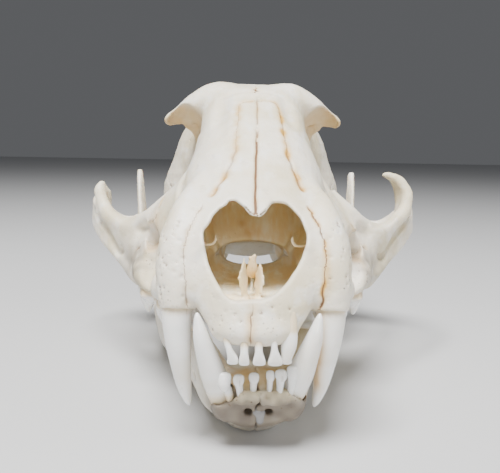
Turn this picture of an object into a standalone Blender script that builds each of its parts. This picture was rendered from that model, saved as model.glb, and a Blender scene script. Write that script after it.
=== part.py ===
"""Caracal skull: the cranium on its lower jaw, resting on a table, life size.

Sizes are in millimetres in the skull's own frame: X across, Y back from the front edge of the
upper jaw, Z up from the table. The skull faces -Y, so the animal's left is at +X.
"""

import math

import bmesh
import bpy
import numpy as np
from mathutils import Matrix, Vector

MM = 0.001
SKULL_LENGTH = 128.0          # front edge of the upper jaw to the nape
HALF_LENGTH = SKULL_LENGTH / 2
MIDDLE_X = 0.6                # the two cheek arches differ, so the middle isn't at X = 0
GAP = 0.3                     # between nodes that touch
MERGE = 0.001                 # points closer than this are one

# Cranium
NASAL_TIP = (0.0, 13.8, 43.6)
FACE_CUT_Y = 51.0             # the face and the braincase are parted here
CHEEK_CUT_X = 27.0            # each cheek arch is parted from the face here
CHEEK_CUT_TURN = 28.0         # degrees
TEMPLE_CUT_X = 35.0           # and from the braincase here
CANINE_X = 14.2
CANINE_Y = 9.8
CANINE_SOCKET_Z = 26.5
TOOTH_ROW_Z = 23.5            # edge of the sockets of the cheek teeth
INCISOR_SOCKET_Z = 22.6
ARCH_X = 43.4                 # middle of the cheek arch where it is widest
BULLA = (15.0, 104.0, 24.0)

# Lower jaw, which lies a little askew under the cranium
JAW_TURN = math.radians(1.6)
JAW_TURN_Y = 45.0
JAW_SHIFT = -0.35
JAW_SOCKET_Z = 11.8
JAW_ROW_Z = 18.0

BONE = ("bone", (0.86, 0.82, 0.73, 1.0), 0.55)

VOXEL = 0.85
CRANIUM_TRIANGLES = 5600
JAW_TRIANGLES = 1500


def material(spec):
    """A Principled material from a name, a colour and a roughness."""
    name, colour, roughness = spec
    found = bpy.data.materials.get(name)
    if found:
        return found
    made = bpy.data.materials.new(name)
    made.use_nodes = True
    shader = made.node_tree.nodes["Principled BSDF"]
    shader.inputs["Base Color"].default_value = colour
    shader.inputs["Roughness"].default_value = roughness
    shader.inputs["Metallic"].default_value = 0.0
    return made


def clear_scene():
    for obj in list(bpy.data.objects):
        bpy.data.objects.remove(obj)


def new_collection(name):
    made = bpy.data.collections.new(name)
    bpy.context.scene.collection.children.link(made)
    return made


def add_object(name, bm, collection):
    """A new object from a bmesh in millimetres, which is freed."""
    bmesh.ops.recalc_face_normals(bm, faces=bm.faces)
    bmesh.ops.scale(bm, vec=(MM, MM, MM), verts=bm.verts)
    mesh = bpy.data.meshes.new(name)
    bm.to_mesh(mesh)
    bm.free()
    obj = bpy.data.objects.new(name, mesh)
    collection.objects.link(obj)
    return obj


def smooth_path(stations, steps):
    """Catmull-Rom through rows of numbers, with this many steps between two rows."""
    rows = np.array(stations, float)
    padded = np.vstack([2 * rows[0] - rows[1], rows, 2 * rows[-1] - rows[-2]])
    made = []
    for i in range(len(rows) - 1):
        a, b, c, d = padded[i:i + 4]
        for t in np.linspace(0, 1, steps, endpoint=False):
            made.append(0.5 * (2 * b + (c - a) * t + (2 * a - 5 * b + 4 * c - d) * t * t
                               + (3 * b - a - 3 * c + d) * t ** 3))
    made.append(rows[-1])
    return np.array(made)


def loft(name, stations, across, collection, sides=14, steps=3, square=2.0):
    """A closed form through stations (x, y, z, half size along across, half size square to it).

    Each section stands square to the path. square is 2 for ellipses and more for boxier sections.
    """
    path = smooth_path(stations, steps)
    centres = path[:, :3]
    tangents = np.gradient(centres, axis=0)
    bm = bmesh.new()
    rings = []
    for centre, tangent, (first, second) in zip(centres, tangents, np.maximum(path[:, 3:5], 0.05)):
        along = Vector(tangent).normalized()
        u = (Vector(across) - along * along.dot(Vector(across))).normalized()
        v = along.cross(u)
        ring = []
        for k in range(sides):
            angle = 2 * math.pi * k / sides
            c, s = math.cos(angle), math.sin(angle)
            p = Vector(centre)
            p += u * first * math.copysign(abs(c) ** (2 / square), c)
            p += v * second * math.copysign(abs(s) ** (2 / square), s)
            ring.append(bm.verts.new(p))
        rings.append(ring)
    for low, high in zip(rings, rings[1:]):
        for k in range(sides):
            n = (k + 1) % sides
            bm.faces.new((low[k], low[n], high[n], high[k]))
    bm.faces.new(rings[0][::-1])
    bm.faces.new(rings[-1])
    return add_object(name, bm, collection)


def ellipsoid(name, centre, radii, collection, turn=(0, 0, 0), segments=20, rings=12):
    """turn is in degrees about X, Y and Z."""
    bm = bmesh.new()
    bmesh.ops.create_uvsphere(bm, u_segments=segments, v_segments=rings, radius=1.0)
    x, y, z = (math.radians(a) for a in turn)
    rotation = Matrix.Rotation(z, 4, "Z") @ Matrix.Rotation(y, 4, "Y") @ Matrix.Rotation(x, 4, "X")
    bm.transform(Matrix.Translation(centre) @ rotation @ Matrix.Diagonal((*radii, 1)))
    return add_object(name, bm, collection)


def box(name, low, high, collection, turn=0.0):
    """A box between two corners, turned about the upright through its own middle by degrees."""
    low, high = (Vector(corner) for corner in np.sort([low, high], axis=0))
    bm = bmesh.new()
    bmesh.ops.create_cube(bm, size=1.0)
    rotation = Matrix.Rotation(math.radians(turn), 4, "Z")
    bm.transform(Matrix.Translation((low + high) / 2) @ rotation @ Matrix.Diagonal((*(high - low), 1)))
    return add_object(name, bm, collection)


def mirrored(stations, side):
    return [(side * row[0], *row[1:]) for row in stations]


def apply_modifiers(obj):
    graph = bpy.context.evaluated_depsgraph_get()
    mesh = bpy.data.meshes.new_from_object(obj.evaluated_get(graph))
    obj.modifiers.clear()
    obj.data = mesh


def joined(name, objects, collection):
    """One object that holds the meshes of all these, which are removed."""
    bm = bmesh.new()
    for obj in objects:
        bm.from_mesh(obj.data)
        bpy.data.objects.remove(obj)
    mesh = bpy.data.meshes.new(name)
    bm.to_mesh(mesh)
    bm.free()
    obj = bpy.data.objects.new(name, mesh)
    collection.objects.link(obj)
    return obj


def fuse_soft(obj, voxel, smoothing, triangles):
    """Overlapping forms become one skin, with rounded creases, of about this many triangles."""
    remesh = obj.modifiers.new("skin", "REMESH")
    remesh.mode = "VOXEL"
    remesh.voxel_size = voxel * MM
    smooth = obj.modifiers.new("creases", "SMOOTH")
    smooth.factor = 0.5
    smooth.iterations = smoothing
    apply_modifiers(obj)
    thin = obj.modifiers.new("fewer", "DECIMATE")
    thin.ratio = min(1.0, triangles / (2 * len(obj.data.polygons)))
    apply_modifiers(obj)


def boolean(obj, others, operation):
    """Union with, or difference by, every object in a collection, which is then emptied."""
    change = obj.modifiers.new(operation.lower(), "BOOLEAN")
    change.operation = operation
    change.operand_type = "COLLECTION"
    change.collection = others
    change.solver = "EXACT"
    apply_modifiers(obj)
    for other in list(others.objects):
        bpy.data.objects.remove(other)


def loose_parts(obj):
    """The mesh's separate closed surfaces, each as a bmesh, largest first."""
    whole = bmesh.new()
    whole.from_mesh(obj.data)
    left = set(whole.verts)
    groups = []
    while left:
        group, front = set(), [left.pop()]
        while front:
            vert = front.pop()
            group.add(vert)
            for edge in vert.link_edges:
                other = edge.other_vert(vert)
                if other in left:
                    left.remove(other)
                    front.append(other)
        groups.append({v.index for v in group})
    whole.free()
    parts = []
    for group in groups:
        bm = bmesh.new()
        bm.from_mesh(obj.data)
        bmesh.ops.delete(bm, geom=[v for v in bm.verts if v.index not in group], context="VERTS")
        parts.append(bm)
    return sorted(parts, key=lambda bm: -bm.calc_volume())


def keep_largest(obj):
    parts = loose_parts(obj)
    bmesh.ops.remove_doubles(parts[0], verts=parts[0].verts, dist=MERGE * MM)
    parts[0].to_mesh(obj.data)
    for bm in parts:
        bm.free()


def node_from(name, bm, parts):
    """A node from one closed surface, whose bmesh is freed."""
    mesh = bpy.data.meshes.new(name)
    bm.to_mesh(mesh)
    bm.free()
    obj = bpy.data.objects.new(name, mesh)
    parts.objects.link(obj)
    return obj


def finish_node(obj, spec):
    """Gives a node its material and smooth shading, and sets the skull's middle on the origin."""
    obj.data.materials.clear()
    obj.data.materials.append(material(spec))
    obj.data.shade_smooth()
    obj.location = (-MIDDLE_X * MM, -HALF_LENGTH * MM, 0)


# Cranium

def braincase_forms(made):
    loft("vault", [(0, 60, 53, 11, 17), (0, 68, 53, 14.5, 18.6), (0, 76, 52.0, 18.5, 19.6),
                   (0, 85, 51.4, 22.0, 20.2), (0, 95, 51, 23.4, 20.2), (0, 106, 50.0, 22.5, 18.3),
                   (0, 115, 47.5, 19.5, 16), (0, 121, 45.5, 16, 13), (0, 125, 44, 10, 8)],
         (1, 0, 0), made, sides=28)
    loft("braincase_sides", [(0, 68, 45, 11, 10), (0, 76, 43.5, 18, 14), (0, 84, 42.5, 24, 18),
                             (0, 94, 42, 27, 19.5), (0, 105, 41.5, 26.5, 18), (0, 114, 41.5, 23, 15.5),
                             (0, 120, 42, 17, 12)], (1, 0, 0), made, sides=28)
    loft("skull_base", [(0, 53, 38, 7.5, 3.5), (0, 64, 37.5, 8.5, 4), (0, 75, 36, 11, 4.6),
                        (0, 88, 34, 15, 5), (0, 102, 32.5, 16, 5), (0, 114, 32, 12, 4.2),
                        (0, 119, 31.5, 8, 3.6)], (1, 0, 0), made)
    loft("nape_crest", [(-24, 109, 38, 1.5, 3), (-21.5, 117, 48, 1.5, 3), (-12, 123.5, 55, 1.6, 3.2),
                        (0, 126, 57, 1.7, 3.4), (12, 123.5, 55, 1.6, 3.2), (21.5, 117, 48, 1.5, 3),
                        (24, 109, 38, 1.5, 3)], (0, 0.6, 0.8), made, sides=10)
    loft("top_crest", [(0, 98, 69.6, 1.2, 1.6), (0, 110, 65.8, 1.3, 2.2), (0, 119, 60.5, 1.4, 2.6),
                       (0, 126, 56, 1.5, 3)], (1, 0, 0), made, sides=10)
    for side in (-1, 1):
        ellipsoid("bulla", (side * BULLA[0], *BULLA[1:]), (8.6, 13.0, 9.2), made, turn=(6, 0, side * 9))
        ellipsoid("condyle", (side * 8.6, 119.8, 31.5), (4.3, 5.2, 6.4), made, turn=(20, 0, side * 18))
        ellipsoid("mastoid", (side * 22.5, 110, 31), (4.6, 5.6, 8.0), made, turn=(12, 0, 0))
        ellipsoid("jugular_process", (side * 18.5, 116, 28), (3.0, 2.6, 5.5), made)
        loft("pterygoid", mirrored([(7.2, 52, 32, 1.3, 4.6), (7.4, 62, 31.8, 1.2, 5.2),
                                    (7.6, 71, 31, 1.1, 4.6), (7.8, 78, 27.8, 0.9, 2.0),
                                    (7.9, 81, 26.2, 0.8, 0.9)], side), (1, 0, 0), made, sides=10)
        ellipsoid("arch_root", (side * 25, 92.6, 34.6), (7.5, 7.6, 3.6), made)
        ellipsoid("jaw_joint", (side * 33, 91.5, 33.2), (8.8, 5.0, 2.6), made, turn=(0, side * 7, 0))
        ellipsoid("joint_stop", (side * 31.5, 96.0, 31.5), (7.0, 1.8, 4.0), made)


def forehead_forms(made):
    loft("bridge", [(0, 34, 44, 13.4, 14), (0, 42, 47.6, 13.2, 15), (0, 48, 50.4, 12.6, 16),
                    (0, 54, 52.8, 12.4, 16.8)], (1, 0, 0), made, sides=24, square=2.5)
    loft("brow", [(0, 46, 49.6, 12.2, 14.6), (0, 54, 52.6, 12.8, 16.6), (0, 60, 54.4, 13.4, 17.6),
                  (0, 67, 54.8, 14.4, 18.0), (0, 75, 54.0, 15.5, 17.8)], (1, 0, 0), made, sides=28, square=3.4)
    for side in (-1, 1):
        loft("brow_process", mirrored([(5, 62, 68.8, 7.0, 3.8), (10, 62, 68.6, 7.0, 3.8), (14.5, 63, 66.6, 6.2, 3.8),
                                       (18.6, 64.2, 64.6, 4.6, 2.8), (21.4, 65.2, 63.2, 2.8, 1.7),
                                       (22.9, 66.0, 62.2, 1.3, 0.9)], side), (0, 1, 0), made)
        loft("temple_line", mirrored([(15.5, 66, 67, 1.6, 1.6), (12.5, 74, 69.6, 1.4, 1.4),
                                      (7, 88, 71.0, 1.2, 1.2), (1, 99, 70.0, 1.0, 1.0)], side),
             (1, 0, 0), made, sides=8)


def snout_forms(made):
    loft("snout", [(0, 9, 34.5, 11, 7.5), (0, 14, 36.2, 14.6, 9.6), (0, 20, 38.0, 15.0, 11.6),
                   (0, 28, 40.6, 15.4, 14.0), (0, 36, 43.6, 15.8, 15.8), (0, 43, 46.4, 15.0, 16.8),
                   (0, 50, 48.6, 13.6, 17.8)], (1, 0, 0), made, sides=24, square=2.3)
    loft("front_shield", [(0, 4.4, 22.4, 6.4, 3.2), (0, 4.8, 24.5, 8.4, 4.4), (0, 6.6, 28.5, 10.8, 5.0),
                          (0, 9.6, 33, 12.2, 5.4), (0, 13, 38.5, 11.6, 5.4), (0, 16.5, 43.2, 8.0, 4.4)],
         (1, 0, 0), made, sides=18)
    ellipsoid("incisor_margin", (0, 3.6, 23.6), (7.4, 3.9, 2.8), made)
    loft("palate", [(0, 4, 27.4, 8, 2.2), (0, 14, 28.6, 12, 2.2), (0, 28, 29.2, 17, 2.2),
                    (0, 42, 29.0, 20, 2.0), (0, 52, 28.2, 14, 1.7), (0, 55.5, 27.6, 8, 1.3)],
         (1, 0, 0), made, sides=16)
    for side in (-1, 1):
        loft("canine_root", mirrored([(CANINE_X, CANINE_Y, 26.2, 3.3, 4.6), (14.2, 11, 31, 4.0, 5.2),
                                      (14.0, 13.6, 37, 4.2, 5.4), (13.0, 18, 43.6, 3.6, 5.0),
                                      (11.4, 23, 49, 2.4, 4.0)], side), (1, 0, 0), made)
        loft("tooth_row", mirrored([(14.4, 15, 28.0, 3.0, 3.0), (17.6, 24, 27.0, 3.0, 3.2),
                                    (21.2, 33, 26.9, 3.2, 3.4), (23.6, 42, 27.0, 3.4, 3.4),
                                    (23.4, 49.5, 27.4, 3.0, 2.8)], side), (1, 0, 0), made)
        loft("cheek", mirrored([(12.5, 33, 41.5, 4.8, 9.0), (16.4, 38, 38.5, 5.0, 8.6),
                                (20.6, 43, 35.0, 5.0, 7.8)], side), (1, 0.4, 0), made)
        loft("eye_rim", mirrored([(11.8, 48.5, 57.5, 1.5, 2.2), (12.7, 45, 52.6, 1.6, 2.4),
                                  (15.2, 43, 47.8, 1.8, 2.6), (19.4, 43.6, 42.6, 2.0, 2.6),
                                  (23.2, 46, 39.6, 2.0, 2.6)], side),
             (1, 0, 0), made, sides=10)


def arch_forms(made, side):
    """The horn of the animal's right arch, at -X, has lost its tip. Its left arch spreads wider."""
    spread = side * (1.03 if side > 0 else 1.0)
    loft("arch", mirrored([(20.5, 41.5, 33.8, 4.6, 10.2), (25.6, 46.5, 31.8, 3.8, 8.6),
                           (30.8, 52.5, 32.8, 2.9, 6.4), (36.6, 60, 36.2, 2.5, 5.6),
                           (41.2, 68.5, 38.8, 2.2, 5.4), (ARCH_X, 77, 38.0, 2.1, 4.6),
                           (42.6, 84.5, 34.4, 2.3, 3.4), (38.6, 90.6, 33.0, 3.0, 2.8),
                           (30, 93, 33.6, 4.4, 2.8)], spread), (1, 0, 0), made)
    horn = [(38.4, 62, 38.5, 2.0, 3.6), (40.4, 64, 42.6, 2.2, 2.2), (39.8, 65.2, 45.8, 1.8, 1.5)]
    if side > 0:
        horn += [(37.4, 66, 48.2, 1.8, 1.4), (34.0, 66.4, 49.4, 0.9, 0.9)]
    loft("cheek_horn", mirrored(horn, spread), (1, 0, 0), made, sides=10)


def nasal_cutter(made):
    """The hollow of the nose, from its front opening back and down to the throat."""
    loft("nose_hollow", [(0, -3, 35.4, 8.6, 7.6), (0, 6, 36.4, 9.6, 8.0), (0, 12, 37.2, 10.0, 8.2),
                         (0, 18, 38.4, 10.4, 8.8), (0, 30, 41.0, 11.4, 11.2), (0, 40, 41.6, 11.2, 11.4),
                         (0, 48, 37.4, 9.4, 8.6), (0, 54, 32.4, 7.2, 3.8), (0, 62, 30.6, 5.8, 3.2),
                         (0, 72, 28.6, 5.8, 3.0)], (1, 0, 0), made, sides=18, steps=2, square=2.2)


def nape_cutter(made):
    """The spinal cord's opening. The braincase is solid further in."""
    loft("nape_hole", [(0, 132, 35.0, 7.2, 6.4), (0, 119, 36.4, 7.2, 6.4), (0, 112, 38.2, 6.8, 6.0),
                       (0, 108, 39.2, 4.0, 3.6)], (1, 0, 0), made, sides=14, steps=1)


def nasal_tips(made):
    """The free front ends of the two nasal bones, pointed on the midline."""
    loft("nasal_tips", [(0, 25, 50.6, 9.0, 1.6), (0, 19.5, 47.4, 6.4, 1.5), (0, 16.4, 45.6, 3.2, 1.3),
                        (0, NASAL_TIP[1], NASAL_TIP[2] + 0.4, 0.9, 0.8)],
         (1, 0, 0), made, sides=10, steps=2)


def incisor_forms(made, places, socket, length, lean):
    """Upper or lower incisors as short spatulas. places holds (x, y, half width, extra length)."""
    for x, y, half, extra in places:
        reach = length + extra
        step = math.copysign(1, reach)
        loft("incisor", [(x, y + 1.2, socket - 2.4 * step, half * 0.6, 1.0),
                         (x, y + 0.5 * lean, socket, half * 0.66, 1.1),
                         (x, y + 0.2 * lean, socket + 0.55 * reach, half * 0.9, 1.0),
                         (x, y, socket + 0.9 * reach, half, 0.7),
                         (x, y, socket + reach, half * 0.8, 0.35)], (1, 0, 0), made, sides=8, steps=1)


def canine_form(made, stations):
    loft("canine", stations, (1, 0, 0), made, sides=12, steps=2)


def cheek_tooth(made, start, end, socket, root, cusps, thick):
    """A blade tooth from front to back. cusps holds (share of the length, height), root is inside."""
    start, end = Vector((*start, socket)), Vector((*end, socket))
    stations = []
    for share, height in cusps:
        low, high = sorted((socket - root, socket + height))
        x, y, _ = start.lerp(end, share)
        stations.append((x, y, (low + high) / 2, thick * (0.55 if share in (0, 1) else 1.0), (high - low) / 2))
    loft("cheek_tooth", stations, (1, 0, 0), made, sides=8, steps=1)


PREMOLAR = ((0, 1.0), (0.14, 2.2), (0.26, 1.7), (0.48, 5.2), (0.68, 2.2), (0.82, 2.8), (1, 0.9))
CARNASSIAL = ((0, 1.0), (0.12, 3.0), (0.22, 2.4), (0.42, 6.6), (0.6, 3.4), (0.82, 4.6), (1, 1.6))
LOWER_CARNASSIAL = ((0, 1.4), (0.25, 5.0), (0.48, 2.6), (0.72, 5.8), (0.92, 2.4), (1, 1.2))
MOLAR = ((0, 0.8), (0.5, 1.5), (1, 0.7))


def downward(cusps):
    return [(share, -height) for share, height in cusps]


def upper_teeth(made):
    # The animal's right third incisor is missing.
    incisor_forms(made, [(-4.0, 0.9, 1.05, 0), (-2.05, 0.4, 0.85, 0), (0.4, 0.2, 0.95, 0),
                         (3.05, 0.6, 1.1, -0.1), (5.6, 1.6, 1.4, 0)],
                  INCISOR_SOCKET_Z, -3.7, 1)
    for side in (-1, 1):
        canine_form(made, mirrored([(14.0, 11.5, 34, 2.0, 3.0), (CANINE_X, CANINE_Y, 26.6, 2.65, 3.7),
                                    (13.7, 9.5, 18, 2.15, 3.0), (13.1, 10.2, 12.7, 1.6, 2.2),
                                    (12.5, 11.3, 9.0, 1.0, 1.4), (12.0, 12.2, 7.0, 0.35, 0.45)], side))
        cheek_tooth(made, (side * 17.2, 23.5), (side * 20.8, 34), TOOTH_ROW_Z, -4,
                    downward(PREMOLAR), 1.8)
        cheek_tooth(made, (side * 21.2, 34.6), (side * 24.2, 49.0), TOOTH_ROW_Z, -4,
                    downward(CARNASSIAL), 1.9)
        cheek_tooth(made, (side * 19.4, 49.6), (side * 23.4, 51.0), TOOTH_ROW_Z + 0.6, -3,
                    downward(MOLAR), 1.6)


def build_cranium(scratch, cutters):
    """The whole cranium without teeth, hollowed and parted, as one object."""
    forms = new_collection("forms")
    braincase_forms(forms)
    forehead_forms(forms)
    snout_forms(forms)
    for side in (-1, 1):
        arch_forms(forms, side)
    whole = joined("cranium", list(forms.objects), scratch)
    fuse_soft(whole, VOXEL, 6, CRANIUM_TRIANGLES)
    nasal_cutter(cutters)
    nape_cutter(cutters)
    boolean(whole, cutters, "DIFFERENCE")
    half = GAP / 2
    box("face_cut", (-19.5, FACE_CUT_Y - half, 20), (19.5, FACE_CUT_Y + half, 80), cutters)
    for side in (-1, 1):
        box("cheek_cut", (side * CHEEK_CUT_X - half, 30, 18), (side * CHEEK_CUT_X + half, 62, 50), cutters, turn=side * CHEEK_CUT_TURN)
        box("temple_cut", (side * TEMPLE_CUT_X - half, 80, 24), (side * TEMPLE_CUT_X + half, 104, 46), cutters)
    boolean(whole, cutters, "DIFFERENCE")
    return whole


def cranium_nodes(parts, scratch, cutters, extras):
    """The four parted nodes of the cranium. The face takes its nasal tips and its teeth."""
    whole = build_cranium(scratch, cutters)
    pieces = loose_parts(whole)
    bpy.data.objects.remove(whole)
    braincase, face = (node_from("braincase", pieces[0], parts), node_from("face", pieces[1], parts))
    nodes = [braincase, face]
    for bm in pieces[2:4]:
        side = "left" if sum(v.co.x for v in bm.verts) > 0 else "right"
        nodes.append(node_from("cheek_arch_" + side, bm, parts))
    nasal_tips(extras)
    vomer_forms(extras)
    upper_teeth(extras)
    boolean(face, extras, "UNION")
    keep_largest(face)
    return nodes


def vomer_forms(made):
    """The trough of thin bone that stands on the floor of the nose, with its two front points."""
    for side in (-1, 1):
        loft("vomer_wing", mirrored([(1.3, 4.6, 28.6, 0.6, 1.2), (1.7, 7, 31.0, 0.6, 3.6),
                                     (1.8, 11, 31.6, 0.6, 4.6), (1.3, 20, 31.0, 0.6, 3.6)], side),
             (1, 0, 0), made, sides=8, steps=2)
    loft("trough", [(0, 5, 28.0, 2.1, 1.8), (0, 12, 28.6, 2.2, 2.2), (0, 23, 29.2, 2.0, 2.4)],
         (1, 0, 0), made, sides=8, steps=2, square=3.0)
    loft("septum", [(0, 10, 31.0, 0.7, 3.0), (0, 15, 32.6, 0.9, 4.8), (0, 22, 31.0, 0.8, 3.4)],
         (1, 0, 0), made, sides=8, steps=2)


# Lower jaw

def jaw_forms(made):
    """The left half. The right half is its mirror image."""
    loft("chin", [(0, 5.8, 10.8, 8.4, 2.2), (0, 9, 9.4, 9.2, 4.6), (0, 14.5, 7.3, 8.3, 6.3),
                  (0, 19.5, 6.0, 7.8, 7.0), (0, 24, 7.2, 6.8, 5.4), (0, 27, 8.8, 5.0, 3.0)],
         (1, 0, 0), made, sides=24, square=2.6)
    loft("body", [(6.6, 12, 8.6, 2.7, 6.0), (8.8, 20, 9.8, 2.9, 6.6), (11.2, 28, 11.2, 3.0, 6.4),
                  (14.8, 40, 12.0, 3.0, 6.8), (18.2, 51, 11.6, 3.0, 7.8), (20.8, 61, 11.4, 2.9, 8.6),
                  (22.8, 71, 11.6, 2.6, 9.2), (24.0, 80, 12.0, 2.3, 8.4), (24.8, 87, 12.0, 2.0, 6.0)],
         (1, 0, 0), made, square=2.3)
    loft("coronoid", [(24.0, 77, 12, 2.2, 9.5), (26.6, 75.6, 21, 2.1, 8.8), (28.6, 75.6, 29, 1.8, 7.8), (29.6, 77.8, 37, 1.5, 5.8),
                      (30.4, 80.2, 44, 1.2, 3.8), (30.8, 82.2, 49.0, 0.9, 1.6)], (1, 0, 0), made)
    loft("condyle", [(23.0, 91.6, 26.8, 1.5, 1.5), (26, 91, 27.2, 2.5, 2.5), (33, 90.6, 26.9, 2.6, 2.6),
                     (38, 90.4, 26.2, 1.5, 1.6)], (0, 1, 0), made, sides=12)
    loft("condyle_neck", [(25.6, 83, 16, 2.4, 5.0), (28.4, 87.0, 22.0, 2.5, 3.6), (30.4, 90.2, 26.6, 2.5, 2.6)],
         (1, 0, 0), made)
    loft("jaw_angle", [(24.2, 80, 9.6, 2.3, 4.6), (24.8, 87, 5.2, 2.3, 4.8), (25.0, 92.5, 2.4, 2.3, 3.8),
                       (25.0, 98.5, 3.2, 1.3, 1.8)], (1, 0, 0), made)
    ellipsoid("lower_canine_socket", (6.3, 8.6, 9.0), (3.1, 4.2, 4.8), made, turn=(-28, 0, 0))


def lower_teeth(made, side):
    """side is 1 for the left half, whose incisors differ a little from the right half's."""
    if side > 0:
        places = [(1.8, 5.0, 0.75, 0.2), (3.6, 5.0, 1.0, 0.3), (5.9, 5.0, 1.15, 1.1)]
    else:
        places = [(-1.2, 5.0, 0.9, 0.0), (-3.7, 4.9, 1.0, 0.0), (-6.2, 4.8, 1.25, 0.2)]
    incisor_forms(made, places, JAW_SOCKET_Z, 4.0, 1)
    canine_form(made, mirrored([(5.6, 11.4, 6.5, 1.8, 2.4), (7.2, 8.6, 11.4, 2.3, 3.2),
                                (8.9, 6.0, 17.4, 2.1, 2.7), (10.2, 4.6, 22.4, 1.55, 1.9),
                                (10.8, 4.5, 25.6, 0.8, 1.0), (10.9, 4.6, 26.9, 0.3, 0.4)], side))
    cheek_tooth(made, (side * 11.2, 27), (side * 13.8, 36), JAW_ROW_Z - 1.0, 4, PREMOLAR, 1.6)
    cheek_tooth(made, (side * 14.0, 36.6), (side * 16.8, 46.8), JAW_ROW_Z - 0.4, 4, PREMOLAR, 1.6)
    cheek_tooth(made, (side * 17.2, 47.4), (side * 20.2, 59), JAW_ROW_Z, 4, LOWER_CARNASSIAL, 1.6)


def jaw_node(name, side, parts, scratch, cutters, extras):
    forms = new_collection("forms")
    jaw_forms(forms)
    node = joined(name, list(forms.objects), parts)
    if side < 0:
        node.data.transform(Matrix.Scale(-1, 4, (1, 0, 0)))
        node.data.flip_normals()
    fuse_soft(node, VOXEL, 4, JAW_TRIANGLES)
    lower_teeth(extras, side)
    boolean(node, extras, "UNION")
    # The joint between the halves, and the flats that the jaw stands on.
    box("halves_cut", (-40 * side, -20, -20), (side * GAP / 2, 60, 60), cutters)
    box("table_cut", (-80, -20, -20), (80, 140, 0), cutters)
    boolean(node, cutters, "DIFFERENCE")
    ellipsoid("masseter_hollow", (side * 37.2, 76, 22), (7.6, 8.6, 10.5), cutters)
    boolean(node, cutters, "DIFFERENCE")
    keep_largest(node)
    middle = Vector((0, JAW_TURN_Y, 0)) * MM
    turn = Matrix.Translation(middle) @ Matrix.Rotation(JAW_TURN, 4, "Z") @ Matrix.Translation(-middle)
    node.data.transform(Matrix.Translation((JAW_SHIFT * MM, 0, 0)) @ turn)
    return node


def main():
    clear_scene()
    parts = new_collection("caracal_skull")
    scratch = new_collection("scratch")
    cutters = new_collection("cutters")
    extras = new_collection("extras")
    nodes = cranium_nodes(parts, scratch, cutters, extras)
    for side, word in ((1, "left"), (-1, "right")):
        nodes.append(jaw_node("lower_jaw_" + word, side, parts, scratch, cutters, extras))
    for node in nodes:
        finish_node(node, BONE)


main()
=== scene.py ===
"""Looks of the caracal skull: bone, teeth and studio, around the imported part.

Sizes are in millimetres in the skull's own frame: X across, Y back from the front edge of the
upper jaw, Z up from the table. The animal's left is at +X. Bones are distance fields on a grid:
soft unions of lofted forms, then cuts, then a skin. Teeth are lofts of their own.
"""

import math

import bpy
import numpy as np
import openvdb as vdb
from mathutils import Matrix, Vector


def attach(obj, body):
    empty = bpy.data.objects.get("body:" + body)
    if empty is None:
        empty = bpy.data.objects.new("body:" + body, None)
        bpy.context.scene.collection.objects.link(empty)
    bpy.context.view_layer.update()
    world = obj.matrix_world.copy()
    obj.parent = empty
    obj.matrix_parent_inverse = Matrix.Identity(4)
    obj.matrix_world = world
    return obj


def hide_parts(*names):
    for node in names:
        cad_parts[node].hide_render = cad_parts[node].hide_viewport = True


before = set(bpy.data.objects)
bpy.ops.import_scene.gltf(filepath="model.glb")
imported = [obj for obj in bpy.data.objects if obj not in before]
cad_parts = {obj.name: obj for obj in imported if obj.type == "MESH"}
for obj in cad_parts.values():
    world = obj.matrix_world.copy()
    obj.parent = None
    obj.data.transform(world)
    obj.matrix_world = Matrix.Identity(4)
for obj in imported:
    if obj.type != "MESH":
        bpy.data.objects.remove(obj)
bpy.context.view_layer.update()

MM = 0.001
MIDDLE_X = 0.6
HALF_LENGTH = 64.0
SHIFT = np.array([-MIDDLE_X, -HALF_LENGTH, 0.0])
SEED = 11

BAND = 3.0                    # distances are known this far from a form's skin
CLEAR_OF_SUTURES = 3.0
PITS_A_SIDE = 72
CRANIUM_VOXEL = 0.33
JAW_VOXEL = 0.36
SIDES = 40                    # points round a form
STEPS = 8                     # rings between two stations
TOOTH_SIDES = 28
CUSP_SIDES = 20
CUSP_STEPS = 4

CAMERA = (-2.4, -106.3, 55.7)
PITCH = math.radians(7.85)    # down
YAW = math.radians(0.87)
ROLL = math.radians(1.01)
FOCAL_PX = 641.8
FRAME_PX = (500.0, 473.0)
MIDDLE_PX = (251.6, 237.8)
SENSOR = 36.0

FLOOR_HALF = 3.0              # metres, as all of the studio
SUBJECT = (0, -0.01, 0.035)

# Cranium
CANINE_X = 14.2
CANINE_Y = 9.8
TOOTH_ROW_Z = 23.5
ARCH_X = 43.4
EAR_CAPSULE = (15.0, 104.0, 24.0)
# The mouth of the canal in front of each eye: X and Z.
CANAL_LEFT = (23.4, 33.9)
CANAL_RIGHT = (22.7, 35.3)

# Lower jaw
JAW_TURN = math.radians(1.6)  # it lies a little askew
JAW_TURN_Y = 45.0
JAW_SHIFT = -0.35
JAW_ROW_Z = 18.0
JAW_GAP = 0.16                # between the two halves


# Forms


def smooth_path(stations, steps):
    """Catmull-Rom through rows of numbers, with this many steps between two rows."""
    rows = np.array(stations, float)
    padded = np.vstack([2 * rows[0] - rows[1], rows, 2 * rows[-1] - rows[-2]])
    made = []
    for i in range(len(rows) - 1):
        a, b, c, d = padded[i:i + 4]
        for t in np.linspace(0, 1, steps, endpoint=False):
            made.append(0.5 * (2 * b + (c - a) * t + (2 * a - 5 * b + 4 * c - d) * t * t +
                (3 * b - a - 3 * c + d) * t ** 3))
    made.append(rows[-1])
    return np.array(made)


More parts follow.
